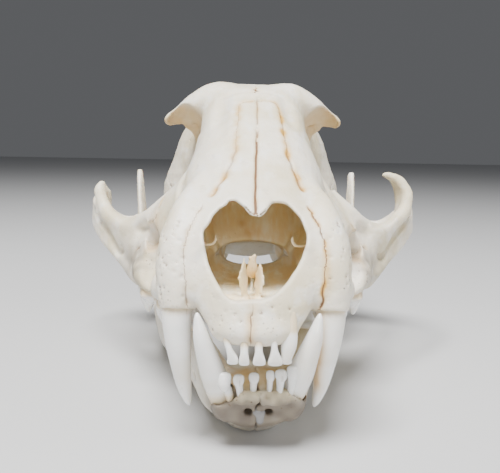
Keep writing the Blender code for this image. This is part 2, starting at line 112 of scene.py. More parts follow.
def tube_skin(rings):
    """Points and triangles of the closed skin over rings of equal length, fanned shut at both ends."""
    count, sides = rings.shape[:2]
    points = np.vstack([rings.reshape(-1, 3), rings[0].mean(0), rings[-1].mean(0)])
    k = np.arange(sides)
    n = (k + 1) % sides
    faces = []
    for i in range(count - 1):
        low, high = i * sides, (i + 1) * sides
        faces.append(np.stack([low + k, low + n, high + n], 1))
        faces.append(np.stack([low + k, high + n, high + k], 1))
    first, last = count * sides, count * sides + 1
    faces.append(np.stack([np.full(sides, first), n, k], 1))
    faces.append(np.stack([np.full(sides, last), (count - 1) * sides + k, (count - 1) * sides + n], 1))
    return points, np.vstack(faces)


def loft(stations, across=(1, 0, 0), square=2.0, sides=SIDES, steps=STEPS):
    """A closed form through stations (x, y, z, half size along across, half size square to it)."""
    path = smooth_path(stations, steps)
    centres = path[:, :3]
    tangents = np.gradient(centres, axis=0)
    tangents /= np.linalg.norm(tangents, axis=1)[:, None]
    across = np.array(across, float)
    u = across - tangents * (tangents @ across)[:, None]
    u /= np.linalg.norm(u, axis=1)[:, None]
    v = np.cross(tangents, u)
    angle = 2 * np.pi * np.arange(sides) / sides
    c, s = np.cos(angle), np.sin(angle)
    c = np.sign(c) * np.abs(c) ** (2 / square)
    s = np.sign(s) * np.abs(s) ** (2 / square)
    half = np.maximum(path[:, 3:5], 0.05)
    rings = (centres[:, None] + u[:, None] * (half[:, :1] * c)[..., None] + v[:, None] * (half[:, 1:] *
        s)[..., None])
    return tube_skin(rings)


def ball(centre, radii, turn=(0, 0, 0), sides=SIDES):
    """An ellipsoid. turn is in degrees about X, Y and Z."""
    x, y, z = (math.radians(a) for a in turn)
    rotation = Matrix.Rotation(z, 3, "Z") @ Matrix.Rotation(y, 3, "Y") @ Matrix.Rotation(x, 3, "X")
    heights = np.cos(np.linspace(math.pi - 0.05, 0.05, sides // 2))
    angle = 2 * np.pi * np.arange(sides) / sides
    widths = np.sqrt(1 - heights ** 2)
    rings = np.stack([widths[:, None] * np.cos(angle), widths[:, None] * np.sin(angle),
        np.repeat(heights[:, None], sides, 1)], -1)
    points, faces = tube_skin(rings)
    return (points * radii) @ np.array(rotation).T + centre, faces


def mirrored(stations, side):
    return [(side * row[0], *row[1:]) for row in stations]


def flipped(form):
    points, faces = form
    return points * (-1, 1, 1), faces[:, ::-1]


# Distance fields


class Field:
    """Signed distances on a grid, below zero inside the bone."""

    def __init__(self, low, high, voxel):
        self.voxel = voxel
        self.first = np.floor(np.array(low) / voxel).astype(int)
        size = np.ceil(np.array(high) / voxel).astype(int) - self.first + 1
        self.values = np.full(size, BAND, np.float32)

    def window(self, low, high):
        """The part of the grid between two corners: slices, and the indices where it starts and ends."""
        limit = self.first + self.values.shape
        start = np.clip(np.floor(np.array(low) / self.voxel).astype(int), self.first, limit - 1)
        end = np.clip(np.ceil(np.array(high) / self.voxel).astype(int) + 1, start + 1, limit)
        return tuple(slice(a, b) for a, b in zip(start - self.first, end - self.first)), start, end

    def distances(self, form):
        """Slices of the grid around a form, and its signed distances there."""
        points, faces = form
        cut, start, end = self.window(points.min(0) - BAND, points.max(0) + BAND)
        grid = vdb.FloatGrid.createLevelSetFromPolygons(points.astype(np.float32),
            triangles=faces.astype(np.uint32), transform=vdb.createLinearTransform(voxelSize=self.voxel),
            halfWidth=BAND / self.voxel)
        found = np.empty(end - start, np.float32)
        grid.copyToArray(found, ijk=tuple(int(i) for i in start))
        return cut, found

    def add(self, form, blend=1.6):
        cut, near = self.distances(form)
        self.values[cut] = soft_least(self.values[cut], near, blend)

    def cut(self, form, blend=0.5):
        cut, near = self.distances(form)
        self.values[cut] = -soft_least(-self.values[cut], near, blend)

    def sample(self, values, points):
        """Values at points, taken between the eight grid points around each."""
        place = points / self.voxel - self.first
        low = np.clip(np.floor(place).astype(int), 0, np.array(values.shape) - 2)
        part = np.clip(place - low, 0, 1)
        total = np.zeros(len(points))
        for corner in np.ndindex(2, 2, 2):
            i, j, k = (low + corner).T
            weight = np.prod(np.where(corner, part, 1 - part), axis=1)
            total += weight * values[i, j, k]
        return total

    def skin(self, rounds=2):
        """Relaxed points and outward quads of the surface at distance zero."""
        grid = vdb.FloatGrid(BAND)
        grid.transform = vdb.createLinearTransform(voxelSize=self.voxel)
        grid.copyFromArray(self.values, ijk=tuple(int(i) for i in self.first))
        points, quads = grid.convertToQuads(0.0)
        points, quads = np.array(points, float), np.array(quads, np.int64)
        corners = points[quads[:, 0]], np.cross(points[quads[:, 1]], points[quads[:, 2]])
        if np.einsum("ij,ij->i", *corners).sum() < 0:
            quads = quads[:, ::-1]
        return relaxed(points, quads, rounds), quads


def soft_least(a, b, blend):
    """The lesser of two distances, rounded over where they are within blend of each other."""
    near = np.maximum(blend - np.abs(a - b), 0) / blend
    return np.minimum(a, b) - near * near * blend / 4


def blurred(values, reach):
    """Mean over a box of 2 * reach + 1 grid points each way."""
    out = values.astype(np.float32)
    for axis in range(3):
        pad = [(0, 0)] * 3
        pad[axis] = (reach + 1, reach)
        total = np.cumsum(np.pad(out, pad, mode="edge"), axis=axis, dtype=np.float64)
        count = out.shape[axis]
        high = np.take(total, np.arange(2 * reach + 1, 2 * reach + 1 + count), axis=axis)
        low = np.take(total, np.arange(count), axis=axis)
        out = ((high - low) / (2 * reach + 1)).astype(np.float32)
    return out


# Surface work


def noise(points, size, seed):
    """Smooth noise between -1 and 1 with lumps of about this size."""
    count = 32
    lattice = np.random.default_rng(SEED * 1000 + seed).uniform(-1, 1, (count,) * 3)
    place = points / size
    low = np.floor(place).astype(int)
    part = place - low
    part = part * part * (3 - 2 * part)
    total = np.zeros(len(points))
    for corner in np.ndindex(2, 2, 2):
        i, j, k = ((low + corner) % count).T
        total += np.prod(np.where(corner, part, 1 - part), axis=1) * lattice[i, j, k]
    return total


def away_from(points, centre, reach):
    """How far each point is from a centre, as a share of the reach along each axis."""
    return np.linalg.norm((points - centre) / reach, axis=1)


def smoothstep(low, high, value):
    t = np.clip((value - low) / (high - low), 0, 1)
    return t * t * (3 - 2 * t)


def normals_of(points, quads):
    across = points[quads[:, 2]] - points[quads[:, 0]]
    other = points[quads[:, 3]] - points[quads[:, 1]]
    face = np.cross(across, other)
    total = np.empty((len(points), 3))
    for axis in range(3):
        total[:, axis] = sum(np.bincount(quads[:, k], face[:, axis], len(points)) for k in range(4))
    return total / np.maximum(np.linalg.norm(total, axis=1), 1e-9)[:, None]


def relaxed(points, quads, rounds, share=0.5):
    """Each point moves part of the way to the mean of its neighbours."""
    a = quads.ravel()
    b = np.roll(quads, -1, axis=1).ravel()
    count = np.bincount(a, minlength=len(points)) + np.bincount(b, minlength=len(points))
    for _ in range(rounds):
        mean = np.empty_like(points)
        for axis in range(3):
            mean[:, axis] = (np.bincount(a, points[b, axis], len(points)) + np.bincount(b, points[a,
                axis], len(points)))
        points = points + share * (mean / np.maximum(count, 1)[:, None] - points)
    return points


def near_line(points, normals, line, reach, across=False):
    """Points within reach of a polyline: indices, signed distances to it or across it, way along it."""
    line = np.array(line, float)
    inside = np.all((points > line.min(0) - reach) & (points < line.max(0) + reach), axis=1)
    index = np.nonzero(inside)[0]
    p, n = points[index], normals[index]
    best = np.full(len(p), 1e9)
    signed, way = np.zeros(len(p)), np.zeros(len(p))
    walked = 0.0
    for a, b in zip(line, line[1:]):
        d = b - a
        length = np.linalg.norm(d)
        t = np.clip((p - a) @ d / length ** 2, 0, 1)
        off = p - a - t[:, None] * d
        distance = np.linalg.norm(off, axis=1)
        sideways = np.cross(n, d)
        beside = np.einsum("ij,ij->i", sideways, off)
        if across:
            offset = beside / np.maximum(np.linalg.norm(sideways, axis=1), 1e-9)
        else:
            offset = distance * np.sign(beside)
        closer = distance < best
        best = np.where(closer, distance, best)
        signed = np.where(closer, offset, signed)
        way = np.where(closer, walked + t * length, way)
        walked += length
    keep = best < reach
    return index[keep], signed[keep], way[keep], walked


class Skin:
    """A bone's surface with what its material reads at each point."""

    # line is the signed distance to the nearest suture, and mark is how dark that suture is. Three masks
    # hold painted shade: one in creases, one warm in wide hollows and under the brow, and one on the chin
    # and over the cheek teeth. stain holds real stains and, in a few places, painted shade.
    LABELS = ("line", "mark", "stain", "inner", "hollow", "porous", "fold", "dull")

    def __init__(self, field):
        self.points, self.quads = field.skin()
        self.normals = normals_of(self.points, self.quads)
        self.lift = np.zeros(len(self.points))
        for label in self.LABELS:
            setattr(self, label, np.zeros(len(self.points)))
        self.line += CLEAR_OF_SUTURES

    def suture(self, stations, depth=0.25, width=0.28, zigzag=0.25, wave=1.6, dark=0.6, stain=0.0,
               seed=0, reach=2.2, broad=1.0, halo=1.0, across=False):
        """A fine wandering groove along stations on the surface."""
        path = smooth_path(stations, 6)
        index, signed, way, length = near_line(self.points, self.normals, path, reach, across)
        if not len(index):
            return
        along = np.stack([way, np.zeros_like(way), np.zeros_like(way)], 1)
        wander = zigzag * (np.abs((way / wave) % 2 - 1) * 2 - 1)
        wander = wander + zigzag * noise(along + 7.3 * seed, wave * 0.45, 40 + seed)
        shifted = signed + wander * smoothstep(reach, 0.4, np.abs(signed))
        ends = smoothstep(0, 1.5, way) * smoothstep(0, 1.5, length - way)
        self.lift[index] -= depth * ends * np.exp(-(shifted / width) ** 2)
        near = smoothstep(reach, reach * 0.5, np.abs(signed)) * ends
        drawn = shifted / broad
        closer = np.abs(drawn) < np.abs(self.line[index])
        take = index[closer]
        self.line[take] = drawn[closer]
        self.mark[take] = dark * near[closer]
        if stain:
            patchy = 0.6 + 0.8 * noise(self.points[index], 2.4, 60 + seed)
            self.stain[index] = np.maximum(self.stain[index], stain * patchy * ends *
                np.exp(-(shifted / halo) ** 2))

    def patch(self, centre, reach, amount, seed=0, share=1.0):
        """A soft patch of stain colour around a point: a real stain, or painted shade where a call puts it.
        """
        away = away_from(self.points, centre, reach)
        patchy = 0.8 + 0.45 * noise(self.points, 1.6, 90 + seed)
        self.stain = np.maximum(self.stain, amount * share * patchy * np.exp(-away ** 2))

    def settle(self):
        """Moves the points by the lift so far and finds the normals again."""
        self.points = self.points + self.normals * self.lift[:, None]
        self.normals = normals_of(self.points, self.quads)
        self.lift[:] = 0

    def piece(self, name, shader):
        obj = mesh_piece(name, self.points, self.quads, shader)
        for label in self.LABELS:
            add_values(obj, label, getattr(self, label))
        return obj


def linked(name, data):
    obj = bpy.data.objects.new(name, data)
    bpy.context.scene.collection.objects.link(obj)
    return obj


def add_values(obj, label, values):
    """A number at each point, for the material."""
    made = obj.data.attributes.new(label, "FLOAT", "POINT")
    made.data.foreach_set("value", values.astype(np.float32))


def mesh_piece(name, points, faces, shader):
    """A smooth shaded object from points in the skull's frame."""
    mesh = bpy.data.meshes.new(name)
    size = faces.shape[1]
    mesh.vertices.add(len(points))
    mesh.vertices.foreach_set("co", ((points + SHIFT) * MM).astype(np.float32).ravel())
    mesh.loops.add(faces.size)
    mesh.loops.foreach_set("vertex_index", faces.astype(np.int32).ravel())
    mesh.polygons.add(len(faces))
    mesh.polygons.foreach_set("loop_start", np.arange(0, faces.size, size, dtype=np.int32))
    mesh.update(calc_edges=True)
    mesh.validate()
    mesh.shade_smooth()
    mesh.materials.append(shader)
    return linked(name, mesh)


# Rays of the camera, to place the nose's outline


def view_axes():
    forward = np.array([math.sin(YAW) * math.cos(PITCH), math.cos(YAW) * math.cos(PITCH), -math.sin(PITCH)])
    right = np.cross(forward, (0, 0, 1))
    right /= np.linalg.norm(right)
    up = np.cross(right, forward)
    turned = right * math.cos(ROLL) + up * math.sin(ROLL)
    return turned, np.cross(turned, forward), forward


# Cranium


def braincase_forms():
    # Upper and lower part of the braincase, and its base.
    yield loft([(0, 60, 53, 11, 17), (0, 68, 53, 14.5, 18.6), (0, 76, 52.0, 18.5, 19.6),
        (0, 85, 51.4, 22.0, 20.2), (0, 95, 51, 23.4, 20.2), (0, 106, 50.0, 22.5, 18.3),
        (0, 115, 47.5, 19.5, 16), (0, 121, 45.5, 16, 13), (0, 125, 44, 10, 8)]), 3.0
    yield loft([(0, 68, 45, 11, 10), (0, 76, 43.5, 18, 14), (0, 84, 42.5, 24, 18), (0, 94, 42, 27, 19.5),
        (0, 105, 41.5, 26.5, 18), (0, 114, 41.5, 23, 15.5), (0, 120, 42, 17, 12)]), 3.0
    yield loft([(0, 53, 38, 7.5, 3.5), (0, 64, 37.5, 8.5, 4), (0, 75, 36, 11, 4.6), (0, 88, 34, 15, 5),
        (0, 102, 32.5, 16, 5), (0, 114, 32, 12, 4.2), (0, 119, 31.5, 8, 3.6)]), 2.0
    # The crest across the back, and the one along the top.
    yield loft([(-24, 109, 38, 1.2, 2.6), (-21.5, 117, 48, 1.2, 2.8), (-12, 123.5, 55, 1.3, 3.0),
        (0, 126, 57, 1.4, 3.2), (12, 123.5, 55, 1.3, 3.0), (21.5, 117, 48, 1.2, 2.8),
        (24, 109, 38, 1.2, 2.6)], (0, 0.6, 0.8)), 2.4
    yield loft([(0, 98, 69.6, 0.9, 1.5), (0, 110, 65.8, 1.0, 2.1), (0, 119, 60.5, 1.1, 2.5),
        (0, 126, 56, 1.3, 2.9)]), 2.4
    for side in (-1, 1):
        # Ear capsule, knob of the neck's joint, and the two processes beside the ear.
        yield ball((side * EAR_CAPSULE[0], *EAR_CAPSULE[1:]), (8.6, 13.0, 9.2), (6, 0, side * 9)), 1.2
        yield ball((side * 8.6, 119.8, 31.5), (4.3, 5.2, 6.4), (20, 0, side * 18)), 1.4
        yield ball((side * 22.5, 110, 31), (4.6, 5.6, 8.0), (12, 0, 0)), 1.6
        yield ball((side * 18.5, 116, 28), (3.0, 2.6, 5.5)), 1.4
        # The wing beside the throat.
        yield loft(mirrored([(7.2, 52, 32, 1.0, 4.8), (7.4, 62, 31.8, 0.9, 5.4), (7.6, 71, 31, 0.8, 4.8),
            (7.8, 78, 27.8, 0.7, 2.2), (7.9, 81.4, 25.8, 0.6, 0.9)], side)), 1.2
        # The arch's rear root, the joint for the jaw and the ridge behind it.
        yield ball((side * 25, 92.6, 33.2), (7.5, 7.6, 3.6)), 2.0
        yield ball((side * 33, 91.5, 31.8), (8.8, 5.0, 2.6), (0, side * 5, 0)), 1.6
        yield ball((side * 31.5, 96.0, 31.5), (7.0, 1.6, 4.2)), 1.2


def forehead_forms():
    # From the snout to the forehead.
    yield loft([(0, 34, 44, 13.4, 14), (0, 42, 47.6, 13.2, 15), (0, 48, 50.4, 12.6, 16),
        (0, 54, 52.8, 12.4, 16.8)], square=2.5), 2.0
    yield loft([(0, 46, 49.6, 12.2, 14.6), (0, 54, 52.6, 12.8, 16.6), (0, 60, 54.4, 13.4, 17.6),
        (0, 67, 54.8, 14.4, 18.0), (0, 75, 54.0, 15.5, 17.8)], square=3.4), 2.4
    for side in (-1, 1):
        # The brow process, the edge behind it, and the line to the roof.
        yield loft(mirrored([(5, 62, 68.8, 7.0, 3.8), (10, 62, 68.4, 7.0, 3.8),
            (14.2, 63, 66.2, 6.2, 3.7), (18.2, 64.2, 64.2, 4.8, 2.6), (21.0, 65.2, 63.2, 3.0, 1.7),
            (22.3, 66.0, 62.7, 1.4, 1.1)], side), (0, 1, 0)), 2.0
        yield loft(mirrored([(9, 67, 55.5, 2.0, 4.6), (12.0, 67.2, 58.2, 1.6, 3.4),
            (14.8, 67.4, 60.8, 1.3, 1.9), (17.6, 67.4, 62.3, 1.1, 1.1)], side), (0, 1, 0)), 1.2
        yield loft(mirrored([(15.5, 66, 67, 1.6, 1.6), (12.5, 74, 69.6, 1.3, 1.4),
            (7, 88, 71.0, 1.0, 1.1), (1, 99, 70.0, 0.9, 1.0)], side)), 2.2


def snout_forms():
    # The snout, the bone round the nose, and the rim over the incisors.
    yield loft([(0, 9, 34.5, 11, 7.5), (0, 14, 36.2, 14.6, 9.6), (0, 20, 38.0, 15.0, 11.6),
        (0, 28, 40.6, 15.4, 14.0), (0, 36, 43.6, 15.8, 15.8), (0, 43, 46.4, 15.0, 16.8),
        (0, 50, 48.6, 13.6, 17.8)], square=2.3), 2.0
    yield loft([(0, 4.4, 21.9, 6.4, 3.2), (0, 4.8, 24.5, 8.4, 4.4), (0, 6.6, 28.5, 10.8, 5.0),
        (0, 9.6, 33, 12.2, 5.4), (0, 13, 38.5, 11.6, 5.4), (0, 16.5, 43.2, 8.0, 4.4)]), 1.6
    yield ball((0, 3.6, 24.3), (7.2, 3.9, 2.7)), 1.6
    # The palate.
    yield loft([(0, 4, 27.4, 8, 2.2), (0, 14, 28.6, 12, 2.2), (0, 28, 29.2, 17, 2.2),
        (0, 42, 29.0, 20, 2.0), (0, 52, 28.2, 14, 1.7), (0, 55.5, 27.6, 8, 1.3)]), 1.4
    for side in (-1, 1):
        # The canine's root, the tooth row, the cheek's root and the front rim of the eye's hollow.
        yield loft(mirrored([(CANINE_X, CANINE_Y, 26.2, 3.3, 4.6), (14.2, 11, 31, 4.0, 5.2),
            (14.0, 13.6, 37, 4.1, 5.3), (12.8, 18, 42.4, 3.5, 4.8), (11.2, 23.5, 45.8, 2.4, 3.8),
            (9.4, 30, 48.5, 1.2, 2.0)], side)), 2.4
        yield loft(mirrored([(14.4, 15, 28.0, 3.0, 3.0), (17.6, 24, 27.0, 3.0, 3.2),
            (21.7, 33, 26.9, 3.1, 3.4), (24.9, 42, 27.0, 3.1, 3.4), (25.1, 48.8, 27.4, 2.8, 2.8)],
            side)), 2.4
        yield loft(mirrored([(12.5, 33, 41.5, 4.8, 9.0), (16.4, 38, 38.5, 5.0, 8.6),
            (20.6, 43, 34.4, 5.0, 7.2)], side), (1, 0.4, 0)), 2.4
        yield loft(mirrored([(11.8, 48.5, 57.5, 1.3, 2.0), (12.7, 45, 52.6, 1.4, 2.2),
            (15.2, 43, 47.8, 1.6, 2.4), (19.4, 43.6, 42.0, 1.8, 2.4), (23.2, 46, 38.4, 1.8, 2.4)],
            side)), 1.6


# The lower rim of each eye's hollow, from the snout to the tip of the cheek's horn. The right horn has
# lost its tip.
LEFT_RIM = [(18.6, 45.0, 46.0, 0.8, 0.9), (23.2, 45.2, 41.5, 1.4, 1.6), (26.8, 48.0, 38.2, 1.6, 1.8),
    (31.0, 52.5, 36.1, 1.8, 1.9), (35.0, 57.5, 36.2, 1.8, 1.8), (38.3, 61.0, 38.2, 1.7, 1.6),
    (40.9, 63.5, 41.2, 1.5, 1.4), (41.6, 64.8, 45.0, 1.3, 1.2), (39.7, 65.6, 48.2, 1.1, 1.0),
    (37.2, 66.0, 49.4, 0.8, 0.8), (35.0, 66.4, 49.6, 0.4, 0.5)]
RIGHT_RIM = [(18.0, 45.0, 46.2, 0.8, 0.9), (23.0, 45.0, 40.8, 1.4, 1.6), (26.6, 47.8, 38.2, 1.6, 1.8),
    (30.2, 52.0, 36.6, 1.8, 1.9), (34.4, 57.0, 37.1, 1.8, 1.8), (37.3, 60.5, 38.8, 1.7, 1.6),
    (39.2, 63.0, 41.6, 1.5, 1.4), (40.3, 64.5, 44.4, 1.3, 1.2), (39.7, 65.4, 46.4, 0.7, 0.7)]
LEFT_HORN = [(40.6, 65.2, 37.5, 2.8, 0.9), (40.6, 66.0, 41.6, 2.6, 0.8), (40.0, 66.5, 45.2, 2.2, 0.7),
    (38.3, 66.6, 47.9, 1.6, 0.6), (36.2, 66.8, 49.2, 0.7, 0.4)]
RIGHT_HORN = [(39.2, 64.6, 37.2, 2.8, 0.9), (39.2, 65.2, 40.6, 2.6, 0.8), (39.0, 65.6, 43.4, 2.3, 0.7),
    (39.4, 65.6, 45.0, 1.2, 0.6), (39.8, 65.6, 46.2, 0.5, 0.5)]


def arch_forms(side):
    """A thin plate between a thick rim above and the ridge where the chewing muscle began below."""
    spread = side * (1.03 if side > 0 else 1.0)
    yield loft(mirrored([(20.5, 42.5, 33.6, 3.6, 8.9), (26.6, 46.6, 30.6, 2.0, 7.6),
        (31.2, 52.0, 31.4, 1.4, 5.8), (36.6, 59.6, 34.2, 1.3, 5.3), (41.2, 68.0, 36.8, 1.4, 5.0),
        (ARCH_X, 77, 37.0, 1.6, 4.4), (42.6, 84.5, 34.8, 1.7, 4.0), (38.6, 90.6, 31.8, 2.6, 2.9),
        (30, 93, 31.8, 4.4, 2.6)], spread)), 1.6
    yield loft(mirrored([(24.8, 43.0, 26.0, 1.8, 2.4), (28.0, 47.2, 25.2, 1.5, 2.0),
        (31.0, 51.2, 27.0, 1.2, 1.5), (34.2, 56.0, 28.8, 1.2, 1.3), (38.2, 62.5, 31.2, 1.2, 1.2),
        (41.8, 69.5, 34.2, 1.2, 1.2), (43.6, 76.5, 35.0, 1.1, 1.2)], spread)), 1.6
    yield loft(mirrored(LEFT_RIM if side > 0 else RIGHT_RIM, side)), 1.6
    yield loft(mirrored(LEFT_HORN if side > 0 else RIGHT_HORN, side), (side * -0.5, 0.86, 0)), 1.0
    yield ball((side * 41.7, 69.5, 40.8), (1.0, 2.6, 1.6)), 2.0


NOSE_HOLLOW = [(0, 7.5, 33.0, 7.6, 3.8), (0, 10.5, 34.0, 9.8, 5.2), (0, 14.5, 35.4, 11.0, 6.6),
    (0, 19, 37.4, 11.6, 8.6), (0, 26, 39.8, 12.2, 10.9), (0, 34, 41.4, 12.4, 12.6),
    (0, 42, 41.2, 11.6, 12.9), (0, 46.5, 39.6, 9.6, 10.6)]
THROAT_WAY = [(0, 38, 31.4, 7.4, 3.1), (0, 46, 30.9, 7.4, 2.9), (0, 54, 29.8, 7.3, 2.8),
    (0, 62, 29.2, 6.2, 3.4), (0, 74, 27.6, 6.0, 3.4)]

NOSE_FLOOR = [(0, 8.5, 30.2, 6.0, 1.2), (0, 14, 30.2, 8.4, 1.7), (0, 24, 30.4, 9.6, 2.1),
    (0, 36, 30.6, 9.4, 2.3), (0, 46.4, 30.8, 7.6, 2.6)]

# The heart-shaped opening of the nose as the camera sees it, from the tip of the nasal bones.
HEART = [(260.5, 217.4), (264, 214), (268, 208.5), (270.5, 204.5), (273, 202.8), (280, 202.5),
    (286, 203.8), (289.5, 206.5), (293, 210), (297, 214), (300.5, 219), (303, 224.5), (305, 230),
    (307, 234.5), (307.2, 241), (306, 247), (303.5, 254), (301, 260), (296, 269), (290, 278.5),
    (283, 287), (277, 292.2), (270, 297), (263, 299.6), (252, 300.4), (241, 300.4), (236, 301),
    (231, 299.6), (227.6, 297), (223, 292), (218, 284), (213, 275), (209, 266), (206.4, 258), (205, 250),
    (203.8, 242), (203, 235), (203.8, 230), (206.5, 227), (209, 224), (211, 220), (213, 216),
    (217, 211.6), (220, 208.6), (225, 206), (228, 203.6), (228.8, 200.8), (235.4, 200.6), (240, 204),
    (244, 207.5), (247.5, 212), (250, 215), (253, 216.4)]


def heart_form():
    """A prism along the camera's rays through the outline, from in front of the bone to behind it."""
    right, up, forward = view_axes()
    outline = np.array(HEART, float)
    rays = (forward + right * ((outline[:, :1] - MIDDLE_PX[0]) / FOCAL_PX)
            - up * ((outline[:, 1:] - MIDDLE_PX[1]) / FOCAL_PX))
    # Behind the lower part of the outline lies the floor of the nose, which stays whole.
    reach = np.interp(outline[:, 1:], (245, 300), (26, 8))
    rings = []
    for share in np.linspace(0, 1, 9):
        step = (-6 + share * (reach + 6) - CAMERA[1]) / rays[:, 1:2]
        rings.append(np.array(CAMERA) + rays * step)
    return tube_skin(np.array(rings))


def vomer_forms():
    """Thin bone that stands on the floor of the nose: two leaves, a plate behind them and its hook."""
    leaves = [
        ((-1.5, 28, 0.9), (-1.8, 30, 1.3), (-2.05, 32.5, 1.65), (-2.0, 34.2, 0.9), (-1.9, 36.0, 0.15)),
        ((0.6, 28, 0.9), (0.7, 30, 1.25), (0.9, 32.1, 1.6), (1.0, 33.8, 0.8), (0.95, 35.2, 0.15))]
    for side, leaf in zip((-1, 1), leaves):
        yield loft([(x, 9.2, z, half, 0.2) for x, z, half in leaf], (side * 0.55, -0.83, 0), 2.4), 0.2
    yield loft([(-0.5, 11.1, 32.0, 0.7, 0.35), (-0.45, 11.1, 33.1, 1.15, 0.4),
        (-0.35, 11.1, 35.0, 0.75, 0.35), (0.0, 11.1, 36.0, 0.4, 0.3), (0.2, 11.0, 36.8, 0.15, 0.2)]), 0.2
    yield loft([(-1.2, 11.0, 35.7, 0.28, 0.28), (-0.8, 11.0, 36.1, 0.22, 0.22),
        (-0.2, 11.1, 35.8, 0.2, 0.2)], (0, 0, 1)), 0.2
    yield loft([(-0.4, 14, 28.6, 0.35, 1.2), (-0.2, 22, 28.8, 0.4, 1.4), (0, 34, 28.8, 0.4, 1.2)]), 0.4


def turbinate_forms():
    """Broken scrolls of thin bone on the walls of the nose."""
    for side in (-1, 1):
        yield loft(mirrored([(11.8, 22.0, 37.4, 0.3, 1.2), (9.6, 19.6, 36.9, 0.24, 0.7),
            (8.3, 18.9, 37.0, 0.26, 0.4), (7.65, 18.9, 37.6, 0.27, 0.4), (7.5, 19, 38.4, 0.24, 0.35),
            (7.8, 19.1, 39.1, 0.12, 0.15)], side), (0, 0, 1)), 0.3


def cranium_field():
    field = Field((-47, -2, 9), (47.5, 132, 75), CRANIUM_VOXEL)
    for forms in (braincase_forms(), forehead_forms(), snout_forms(), arch_forms(1), arch_forms(-1)):
        for form, blend in forms:
            field.add(form, blend)
    hollows = [loft(NOSE_HOLLOW, square=2.3), loft(NOSE_FLOOR, square=3.4), loft(THROAT_WAY, square=2.6)]
    for form in hollows:
        field.cut(form, 1.0)
    field.cut(heart_form(), 0.6)
    field.cut(loft([(0, 132, 35.0, 7.4, 6.6), (0, 119, 36.4, 7.2, 6.4), (0, 108, 40.0, 7.6, 7.4),
        (0, 98, 44.0, 10, 9)]), 1.0)
    for forms in (vomer_forms(), turbinate_forms()):
        for form, blend in forms:
            field.add(form, blend)
    field.cut(ball((-0.5, 8.4, 28.4), (0.4, 1.6, 1.5)), 0.2)
    detail_cuts(field)
    return field, hollows


def cheek_cuts(field, side):
    """The canal in front of the eye, the tear duct, and the groove and dish of the cheek."""
    x, z = CANAL_LEFT if side > 0 else CANAL_RIGHT
    field.cut(loft(mirrored([(x + 1.0, 31.0, z, 3.1, 4.4), (x + 0.8, 35.5, z + 0.1, 2.6, 3.9),
        (x + 0.7, 40.0, z + 0.2, 2.3, 3.4), (x + 0.5, 43.8, z + 0.3, 1.8, 2.7)], side)), 0.6)
    field.cut(loft(mirrored([(x - 0.2, 39.5, z + 2.4, 0.9, 1.0), (20.6, 46.0, 37.2, 1.1, 1.3),
        (19.6, 51.0, 38.4, 1.6, 1.8)], side)), 0.5)
    # Between the rim's lobe and the plate below it, on the outer face of the cheek.
    out, back = (0, 0) if side > 0 else (1.0, 2.0)
    groove = [(45.2, 69.2, 40.6, 0.8, 1.0), (43.4, 67.4, 39.8, 0.9, 1.2), (39.9, 62.0, 36.9, 1.0, 1.4),
        (36.5, 56.5, 34.2, 1.0, 1.4), (34.3, 53.5, 31.8, 1.0, 1.2), (32.3, 51.0, 29.8, 0.8, 1.0),
        (30.2, 48.4, 30.6, 0.5, 0.6)]
    field.cut(loft(mirrored([(a + out, b + back, *rest) for a, b, *rest in groove], side)), 1.0)
    field.cut(ball((side * 23.8, 31.0, 32.4), (3.2, 6.6, 7.6), (0, side * 6, side * 10)), 3.0)
    field.cut(loft(mirrored([(17.2, 46.8, 46.0, 0.8, 0.9), (14.8, 43.4, 44.4, 0.7, 0.8)], side)), 0.3)


def base_cuts(field, side):
    """Openings behind the eye, round the ear and in the palate, and the groove for the jaw."""
    # Behind the eye.
    field.cut(loft(mirrored([(15.5, 66, 38.6, 1.1, 1.3), (9.5, 73, 38.4, 1.1, 1.3)], side)), 0.4)
    field.cut(loft(mirrored([(16.5, 70, 35.4, 1.5, 1.6), (10, 78, 35.2, 1.5, 1.6)], side)), 0.4)
    field.cut(loft(mirrored([(19.5, 77, 33.4, 1.0, 1.1), (13, 82, 34.6, 1.0, 1.1)], side)), 0.4)
    field.cut(loft(mirrored([(17.6, 53.4, 36.0, 1.3, 1.6), (9.5, 56, 36.0, 1.3, 1.6)], side)), 0.4)
    # The ear, and the openings around its capsule.
    field.cut(loft(mirrored([(28, 100.5, 29.6, 1.9, 2.4), (20, 101.5, 28.2, 1.9, 2.3)], side), (0, 1, 0)),
        0.6)
    field.cut(ball((side * 9.2, 114.2, 27.2), (1.8, 2.2, 2.2)), 0.5)
    field.cut(ball((side * 7.2, 92.4, 27.6), (1.1, 1.8, 1.6)), 0.5)
    field.cut(ball((side * 20.4, 88.0, 29.6), (1.2, 1.4, 1.8)), 0.5)
    # The joint's groove for the jaw, and the slots and holes of the palate.
    field.cut(loft(mirrored([(25.5, 91.6, 29.7, 2.2, 1.9), (33, 91.2, 29.2, 2.4, 2.1),
        (40, 90.6, 28.8, 2.0, 1.6)], side), (0, 1, 0)), 0.8)
    field.cut(loft(mirrored([(2.2, 8.0, 24.0, 0.9, 1.4), (2.6, 12.4, 27.0, 1.0, 1.5),
        (2.8, 14.5, 31.0, 0.8, 1.3)], side)), 0.5)
    field.cut(ball((side * 9.4, 40.5, 26.9), (0.8, 1.4, 1.4)), 0.3)
    field.cut(ball((side * 10.4, 46.5, 26.8), (0.6, 0.9, 1.2)), 0.3)


